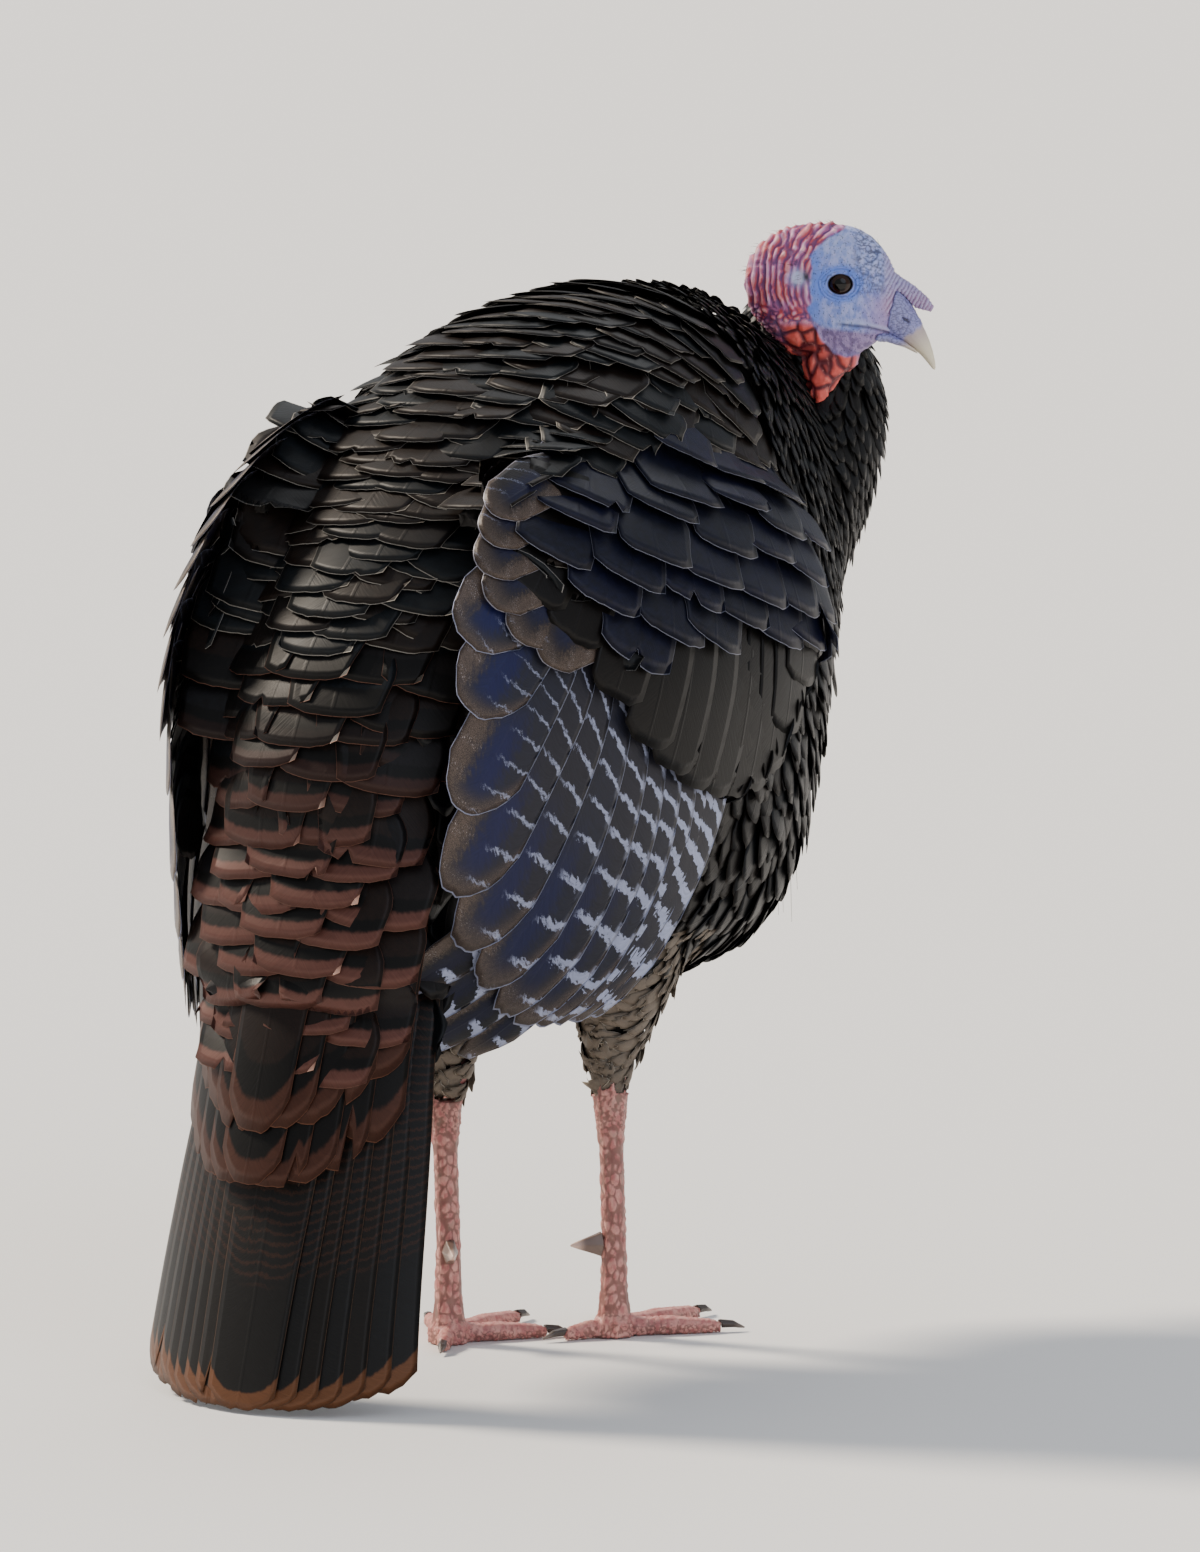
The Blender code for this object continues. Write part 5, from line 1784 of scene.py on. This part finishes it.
@dataclass
class Wing:
    """The flight feathers of one folded wing, and the great coverts over their roots.

    All lines run from the innermost feather to the outermost, as forward and up.
    """

    side: int
    count: int = 13
    front_start: tuple = ((-0.165, 0.455), (-0.143, 0.414), (-0.101, 0.376), (-0.057, 0.351), (-0.021, 0.343))
    front_middle: tuple = ((-0.180, 0.450), (-0.176, 0.353), (-0.116, 0.30), (-0.068, 0.289), (-0.046, 0.285))
    tips: tuple = ((-0.224, 0.450), (-0.222, 0.300), (-0.166, 0.223), (-0.128, 0.215), (-0.103, 0.217))
    tips_left: tuple = ((-0.228, 0.450), (-0.244, 0.300), (-0.226, 0.222), (-0.160, 0.212), (-0.110, 0.214))
    half_width: tuple[float, float] = (0.0265, 0.0215)
    primary_roots: tuple = ((-0.150, 0.330), (-0.130, 0.300), (-0.110, 0.280))
    primary_tips: tuple = ((-0.222, 0.236), (-0.212, 0.196), (-0.165, 0.196))
    covert_tips: tuple = ((-0.182, 0.470), (-0.112, 0.380), (-0.050, 0.345), (0.012, 0.352), (0.068, 0.420))
    covert_roots: tuple = ((-0.120, 0.540), (-0.065, 0.495), (-0.005, 0.475), (0.045, 0.478), (0.095, 0.500))
    tertial_tips: tuple = ((-0.186, 0.52), (-0.200, 0.502), (-0.210, 0.482), (-0.205, 0.458), (-0.188, 0.440))
    tertial_tips_left: tuple = (
        (-0.160, 0.545), (-0.200, 0.525), (-0.230, 0.490), (-0.245, 0.445), (-0.250, 0.395),
    )
    tertial_way: tuple[float, float] = (0.95, 0.30)
    tilt: tuple[float, float] = (0.05, 0.075)

    @property
    def right(self) -> bool:
        """Tells whether it is the right wing."""
        return self.side > 0

    @property
    def name(self) -> str:
        """The side's name."""
        return "right" if self.right else "left"

    def build(self) -> None:
        """Makes its four rows."""
        self.secondaries()
        self.primaries()
        self.great_coverts()
        self.tertials()

    def row(
        self, name: str, vane: Vane, finish: VaneFinish, routes: np.ndarray, seed: int, *nodes: str,
        tilt: float, stand: float = 0.0, rise: object = 0.0, sink: float = 0.0,
        size: object = 1.0, order: object = 0.0,
    ) -> None:
        """Lays one row of feathers on the wing's face.

        Args:
            name: The end of the piece's name.
            vane: Their shape.
            finish: Their finish.
            routes: Where they run, an array of (feathers, samples, 2).
            seed: Picks their small differences.
            *nodes: The solids that they stand for.
            tilt: How steeply each slopes down to its rear edge.
            stand: How far they stand off the face.
            rise: How much further at their tips.
            sink: How much less at their roots.
            size: The size of each.
            order: Its place in the row, from 0 to 1.
        """
        count, samples = routes.shape[:2]
        share = np.linspace(0, 1, samples)[None]
        lifts = np.full((count, 1), stand) + rise * share - sink * (1 - share) ** 2
        size, order = (np.broadcast_to(values, count).astype(float) for values in (size, order))
        lie = laid(WingFace(self.side), routes, lifts, size, order, seed, -self.side * tilt)
        piece = f"wing_{self.name}_{name}"
        feathers(piece, vane, lie, finish.material(), seed + 10, "flight_feathers", *nodes)

    @staticmethod
    def straight(roots: np.ndarray, tips: np.ndarray, samples: int) -> np.ndarray:
        """Draws straight routes from roots to tips."""
        share = np.linspace(0, 1, samples)[None, :, None]
        return roots[:, None] * (1 - share) + tips[:, None] * share

    def barred(self, name: str, **settings: object) -> BarredVane:
        """Gives the finish of one kind of barred feather."""
        return BarredVane(f"{name}_vane_{self.name}", metallic=0.1, **settings)

    def browns(self) -> dict[str, str]:
        """Gives the browns of secondaries and tertials, paler on the left, which faces the light."""
        if self.right:
            return {"brown": "#2C2422", "fleck": "#7E6D60"}
        return {"brown": "#4E443E", "fleck": "#A89888"}

    def secondaries(self) -> None:
        """Makes the secondaries, which curve back along the wing."""
        order = np.linspace(0, 1, self.count)
        start, middle = through(self.front_start, order), through(self.front_middle, order)
        tip = through(self.tips if self.right else self.tips_left, order)
        half = np.interp(order, (0, 1), self.half_width)[:, None]
        way = unit(tip - start)
        rear = np.stack((way[:, 1], -way[:, 0]), -1)
        start, middle = start + rear * half, middle + rear * half
        root = start + (start - middle) * 0.9
        knots = np.stack((root, start, middle, tip), 1)
        routes = np.stack([through(knot, np.linspace(0, 1, 12)) for knot in knots])
        lengths = np.linalg.norm(np.diff(routes, axis=1), axis=-1).sum(1)
        LOG.info("secondaries %.3f to %.3f m", lengths.min(), lengths.max())
        vane = Vane(
            0.17, self.half_width[0], 14, 26, root_width=0.5, round_off=0.17, squareness=2.3,
            crown=0.03, ragged=0.008, splits=0.0, taper=0.0, patch=0.012,
        )
        # the left wing's slate is painted paler than the right's: painted light on the wing that faces the
        # light
        slate_with_painted_light = ("#212129", "#2C2B34", "#24283A") if self.right else ("#33323A", "#4A4850", "#3A3E50")
        finish = self.barred(
            "barred_secondary", base=slate_with_painted_light[0], glint_a=slate_with_painted_light[1], glint_b=slate_with_painted_light[2], edge="#9FA6C4",
            edge_width=1.1, length=170.0, width=52.0, mirrored=not self.right, **self.browns(),
        )
        self.row(
            "secondary_feathers", vane, finish, routes, 21, f"wing_{self.name}_secondaries",
            tilt=self.tilt[0 if self.right else 1], stand=0.0020, sink=0.010,
            size=half[:, 0] / self.half_width[0], order=order,
        )

    def primaries(self) -> None:
        """Makes the tips of the primaries, under the secondaries."""
        order = np.linspace(0, 1, 4)
        vane = Vane(
            0.12, 0.017, 10, 20, root_width=0.8, round_off=0.22, squareness=1.9,
            thickness=0.0009, crown=0.08, ragged=0.02, splits=0.5, patch=0.012,
        )
        finish = self.barred(
            "barred_primary", base="#121114", glint_a="#1A1A20", glint_b="#161A24", edge="#70727C",
            length=120.0, width=34.0, mirrored=not self.right,
        )
        routes = self.straight(through(self.primary_roots, order), through(self.primary_tips, order), 8)
        self.row(
            "primary_feathers", vane, finish, routes, 22, f"wing_{self.name}_primaries",
            tilt=self.tilt[0], stand=-0.004, order=0.75,
        )

    def great_coverts(self) -> None:
        """Makes the smooth panel of great coverts over the roots of the secondaries."""
        order = np.linspace(0, 1, 13)
        vane = Vane(
            0.11, 0.024, 10, 16, root_width=0.8, round_off=0.07, squareness=3.5,
            thickness=0.0005, crown=0.012, ragged=0.01, splits=0.0, patch=0.008,
        )
        finish = VaneFinish(
            f"bronze_great_covert_vane_{self.name}", base="#060505", glint_a="#150E0A", glint_b="#0E0C0C",
            edge="#15120F", length=110.0, width=44.0, metallic=0.25, roughness=0.4,
        )
        routes = self.straight(through(self.covert_roots, order), through(self.covert_tips, order), 9)
        self.row(
            "great_coverts", vane, finish, routes, 23,
            tilt=0.012, stand=0.0034, rise=0.0012, sink=0.005, order=order,
        )

    def tertials(self) -> None:
        """Makes the rounded brown feathers over the upper rear corner of the wing."""
        if self.right:
            count, line, stand, half, tilt = 6, self.tertial_tips, 0.0075, 0.022, 0.06
        else:
            count, line, stand, half, tilt = 8, self.tertial_tips_left, 0.0080, 0.026, 0.09
        order = np.linspace(0, 1, count)
        tips = through(line, order)
        vane = Vane(
            0.075, half, 12, 12, root_width=0.5, round_off=0.20, squareness=2.3,
            thickness=0.0006, crown=0.03, ragged=0.006, splits=0.0, patch=0.008,
        )
        finish = self.barred(
            "mottled_tertial", base="#24201F", glint_a="#332A26", glint_b="#26262E", edge="#9A9AAA",
            length=75.0, width=42.0, mirrored=self.right, blue="#1A1C34", **self.browns(),
        )
        routes = self.straight(tips + unit(np.array(self.tertial_way)) * vane.length, tips, 8)
        rise = np.interp(order, (0, 1), (stand, 0.0070))[:, None]
        self.row(
            "tertial_feathers", vane, finish, routes, 24,
            tilt=tilt, rise=rise, sink=0.006, size=np.linspace(0.8, 1.0, count),
        )


@dataclass
class Tail:
    """The closed tail: long feathers with banded tips, and a row of long coverts over them."""

    line: tuple = ((-0.200, 0.300), (-0.248, 0.205), (-0.278, 0.100), (-0.300, 0.0018))
    covert_line: tuple = ((-0.215, 0.350), (-0.255, 0.250), (-0.284, 0.130))

    def build(self) -> None:
        """Makes the tail feathers and the long coverts."""
        buff = TailVane(
            "banded_tail_vane", base="#0B0908", glint_a="#17110D", glint_b="#101418", edge="#5A4434",
            length=315.0, width=54.0, metallic=0.1, roughness=0.42,
        )
        long = Vane(
            0.315, 0.027, 12, 44, root_width=0.6, round_off=0.055, squareness=2.6,
            thickness=0.0010, crown=0.07, ragged=0.004, splits=0.3, patch=0.014,
        )
        copper = CopperVane(
            "copper_long_covert_vane", base="#0C0908", glint_a="#1E1410", glint_b="#16141A", edge="#6E4634",
            copper="#3E241B", length=150.0, width=50.0, band=13.0, bar_width=12.0, edge_width=0.5,
            metallic=0.35,
        )
        covert = Vane(
            0.15, 0.025, 12, 20, root_width=0.6, round_off=0.10, squareness=2.6,
            thickness=0.0009, crown=0.08, ragged=0.007, splits=0.2, patch=0.010,
        )
        under, over = TailFace(self.line), TailFace(self.covert_line, half_width=0.080)
        self.row("tail_feathers", "tail", under, long, buff, 41, 14, (0.042, 0.081), 0.08, 1.0, 0.004)
        for name, node, seed, wide, reach, lift in (
            ("long_covert_feathers_low", "tail_coverts_long", 42, 0.062, 1.0, 0.004),
            ("long_covert_feathers_high", "tail_coverts_short", 43, 0.060, 0.84, 0.0065),
        ):
            self.row(name, node, over, covert, copper, seed, 9, (0.040, wide), 0.16, reach, lift)

    @staticmethod
    def row(
        name: str, node: str, face: TailFace, vane: Vane, finish: VaneFinish, seed: int,
        count: int, spread: tuple[float, float], bow: float, reach: float, lift: float,
    ) -> None:
        """Makes one fan of feathers, the middle ones on top.

        Args:
            name: The piece's name.
            node: The solid that it stands for.
            face: What they lie on.
            vane: Their shape.
            finish: Their finish.
            seed: Picks their small differences.
            count: How many.
            spread: How far the outermost lie from the middle, at root and tip.
            bow: How much shorter the outermost are.
            reach: How far along the face the middle ones end.
            lift: How far the middle ones stand off the face.
        """
        random = np.random.default_rng(seed)
        place = np.linspace(-1, 1, count)[:, None]
        share = np.linspace(0, 1, 16)[None]
        along = share * (reach - bow * place**2 * reach + random.uniform(-0.008, 0.008, (count, 1)))
        sideways = place * (spread[0] + (spread[1] - spread[0]) * share) - 0.010 * along**2
        lifts = lift - 0.006 * np.abs(place) - 0.010 * (1 - share) ** 2
        lie = laid(face, np.stack((sideways, along), -1), lifts, np.ones(count), np.ones(count), seed)
        feathers(name, vane, lie, finish.material(), seed + 1, "tail_feathers", node)


@dataclass
class Face:
    """Eyes, bill and the sparse bristles of the crown."""

    eye_at: tuple[float, float, float] = (3.0, 2.0, 12.2)
    eye_radius: float = 8.5
    # millimetres ahead and up: the nostril, and where the horn's length is measured from
    nostril: tuple[float, float] = (43.0, -20.5)
    horn_start: tuple[float, float] = (36.0, -12.0)
    horn_voxel: float = 0.0006
    bristle_count: int = 170

    def build(self, skin: bpy.types.Object) -> None:
        """Makes them all."""
        self.eyes()
        self.bill()
        self.bristles(skin)

    def eyes(self) -> None:
        """Makes both eyeballs, each with its line of sight straight out."""
        finish = WetEye().material()
        for side, name in ((1, "right"), (-1, "left")):
            eye = sphere(self.eye_radius * MM, segments=48, rings=32)
            eye.name = f"eyeball_{name}"
            # its pole points straight out
            turned = points_of(eye) * (1, -side, side) / MM
            off = np.arccos(np.clip(turned[:, 2] * side / self.eye_radius, -1, 1))
            bulge = 1 + 0.05 * ramp(0.75, 0.35, off)
            set_points(eye, head_frame(np.array(self.eye_at) * (1, 1, side) + turned * bulge[:, None]))
            put_number(eye, "Off", off)
            face_outwards(eye)
            eye.data.shade_smooth()
            eye.data.materials.append(finish)
            seat(eye, "eye", f"eye_{name}")

    def bill(self) -> None:
        """Makes the bill, smoothed, with a nostril and a thin gape."""
        finish = BillHorn().material()
        for node in ("bill_upper", "bill_lower"):
            bill = merged(f"{node}_horn", [copy_of(node)], self.horn_voxel, 2)
            local = head_local(points_of(bill))
            ahead, up = local[:, 0], local[:, 1]
            upper = node == "bill_upper"
            down = (ahead - self.horn_start[0]) * 0.59 - (up - self.horn_start[1]) * 0.81
            rough = soft_noise(local, 4.0, 4.0, 4.0)
            skin = ramp(21.5, 18.5, down + 1.6 * rough) if upper else ramp(26.0, 18.0, down)
            cracks = cell_noise(local + 1.2 * rough[:, None], 3.2, 1.7, 3.2)
            front, over = ahead - self.nostril[0], up - self.nostril[1]
            slit = np.hypot((front * 0.80 - over * 0.60) / 3.4, front * 0.60 + over * 0.80)
            hole = ramp(1.1, 0.6, slit) * upper
            fold = (bump(slit, 2.0, 0.5) + 0.6 * bump(slit, 3.4, 0.5)) * upper
            lift = skin * (0.35 * cracks + 0.35) + 0.45 * fold * skin - 1.2 * hole + 0.05 * rough
            set_points(bill, points_of(bill) + normals_of(bill) * lift[:, None] * MM)
            put_number(bill, "Share", np.clip((down - 18.0) / 26.0, 0, 1))
            put_number(bill, "Cere", skin)
            put_number(bill, "Dark", np.clip(hole + skin * 0.6 * ramp(0.2, 0.02, cracks), 0, 1))
            bill.data.materials.append(finish)
            seat(bill, "bill_horn", node)

    def bristles(self, skin: bpy.types.Object) -> None:
        """Makes the short black bristles of crown and nape."""
        random = np.random.default_rng(51)
        points, normals = points_of(skin), normals_of(skin)
        local = head_local(points)
        near = (np.linalg.norm(local, axis=1) < 70) & (local[:, 1] > 4) & (local[:, 0] < 30)
        chosen = random.choice(np.flatnonzero(near), self.bristle_count, replace=False)
        lean = head_frame(local[chosen] + np.array((-3.0, 1.0, 0.0))) - points[chosen]
        way = unit(normals[chosen] + unit(lean) * 0.9 + random.normal(0, 0.2, (len(chosen), 3)))
        length = random.uniform(0.003, 0.0065, len(chosen))
        roots = points[chosen] - normals[chosen] * 0.0004
        Bristles(0.00016, 3, 3).build("crown_bristles", roots, way, length, 0.3, 52, "head_skin")


@dataclass(frozen=True)
class Bristles:
    """Thin tapering bristles, joined in one mesh."""

    radius: float
    sides: int
    rings: int
    bend: float = 0.08

    def build(
        self, name: str, roots: np.ndarray, ways: np.ndarray, lengths: np.ndarray, droop: float, seed: int,
        slot: str, *nodes: str,
    ) -> None:
        """Makes the piece.

        Args:
            name: The piece's name.
            roots: Where they start.
            ways: Their first directions.
            lengths: Their lengths.
            droop: How far they hang by their tips, as a share of the length.
            seed: Picks their bends.
            slot: Not used.
            *nodes: The solids that they stand for.
        """
        random = np.random.default_rng(seed)
        count = len(roots)
        share = np.linspace(0, 1, self.rings + 1)
        side = unit(np.cross(ways, (0.31, 0.17, 0.93)))
        other = np.cross(ways, side)
        bend = random.normal(0, self.bend, (count, 2))
        line = roots[:, None] + ways[:, None] * (share[None] * lengths[:, None])[..., None]
        sag = share[None] ** 2 * lengths[:, None]
        for way, much in ((side, bend[:, :1]), (other, bend[:, 1:])):
            line = line + way[:, None] * (much * sag)[..., None]
        line[..., 2] -= droop * sag
        turn = np.arange(self.sides) / self.sides * 2 * math.pi
        ring = np.cos(turn)[:, None] * side[:, None, None] + np.sin(turn)[:, None] * other[:, None, None]
        thick = self.radius * (1 - 0.85 * share)
        points = (line[:, :, None] + ring * thick[None, :, None, None]).reshape(count, -1, 3)
        start = np.arange(self.rings * self.sides)
        after = start - start % self.sides + (start + 1) % self.sides
        quads = np.stack((start, after, after + self.sides, start + self.sides), -1)
        each = points.shape[1]
        faces = (quads[None] + (np.arange(count) * each)[:, None, None]).reshape(-1, 4)
        made = mesh_object(name, points.reshape(-1, 3), faces)
        face_outwards(made, self.sides)
        made.data.materials.append(Plain(f"{name}_keratin", "#0C0A0A", "#1E1814", 0.45).material())
        spots = np.repeat(body_spot(roots), each, axis=0)
        spots = spots + np.tile(np.linspace(0, 0.003, each), count)[:, None]
        put_map(made, "OFBake", np.clip(spots, 0, 1))
        seat(made, slot, *nodes)


@dataclass
class Beard:
    """The coarse black beard that hangs from the middle of the breast."""

    root: tuple[float, float, float] = (0.0, 0.270, 0.415)
    bundle: tuple[float, float] = (0.0045, 0.0035)
    count: int = 260

    def build(self) -> None:
        """Makes the beard, which ends at the bottom of its solid."""
        random = np.random.default_rng(61)
        low, high = np.array(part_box("beard"))
        top = to_frame(np.array(self.root))
        disc = random.normal(0, 1, (self.count, 2)) * self.bundle
        roots = top + np.column_stack((disc, random.normal(0, 0.002, self.count)))
        end = np.array((*(low + high)[:2] / 2, low[2]))
        ways = unit(end - top + np.column_stack((disc * 0.8, np.zeros(self.count))))
        lengths = np.linalg.norm(end - top) * random.uniform(0.72, 0.99, self.count)
        name = "beard_bristles"
        Bristles(0.0006, 4, 7, 0.02).build(name, roots, ways, lengths, 0.0, 62, name, "beard")


@dataclass
class Claws:
    """Claws and spurs, smoothed, each with a paler tip."""

    voxel: float = 0.0006

    def build(self) -> None:
        """Makes them from the solids."""
        claw = Horn("claw_horn", "#3A2F2A", "#6E625A", 0.4).material()
        spur = Horn("spur_horn", "#6E5A50", "#D8B8A8", 0.38).material()
        for side in ("left", "right"):
            centre = np.array(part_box(f"shank_{side}")).sum(0)[:2] / 2
            claws = [(f"claw_{side}_{toe}", claw) for toe in ("hind", "inner", "middle", "outer")]
            for node, finish in claws + [(f"spur_{side}", spur)]:
                made = merged(f"{node}_horn", [copy_of(node)], self.voxel, 2)
                away = np.linalg.norm(points_of(made)[:, :2] - centre, axis=1)
                put_number(made, "Share", (away - away.min()) / (away.max() - away.min()))
                made.data.materials.append(finish)
                seat(made, "claw_horn", node)


def main() -> None:
    """Builds the bird and its stage."""
    logging.basicConfig(level=logging.INFO, format="%(message)s")
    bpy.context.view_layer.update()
    Studio().build()
    skin = Skin().build()
    Plumage().build()
    for side in (1, -1):
        Wing(side).build()
    Tail().build()
    Face().build(skin)
    Beard().build()
    Claws().build()


if __name__ == "__main__":
    main()
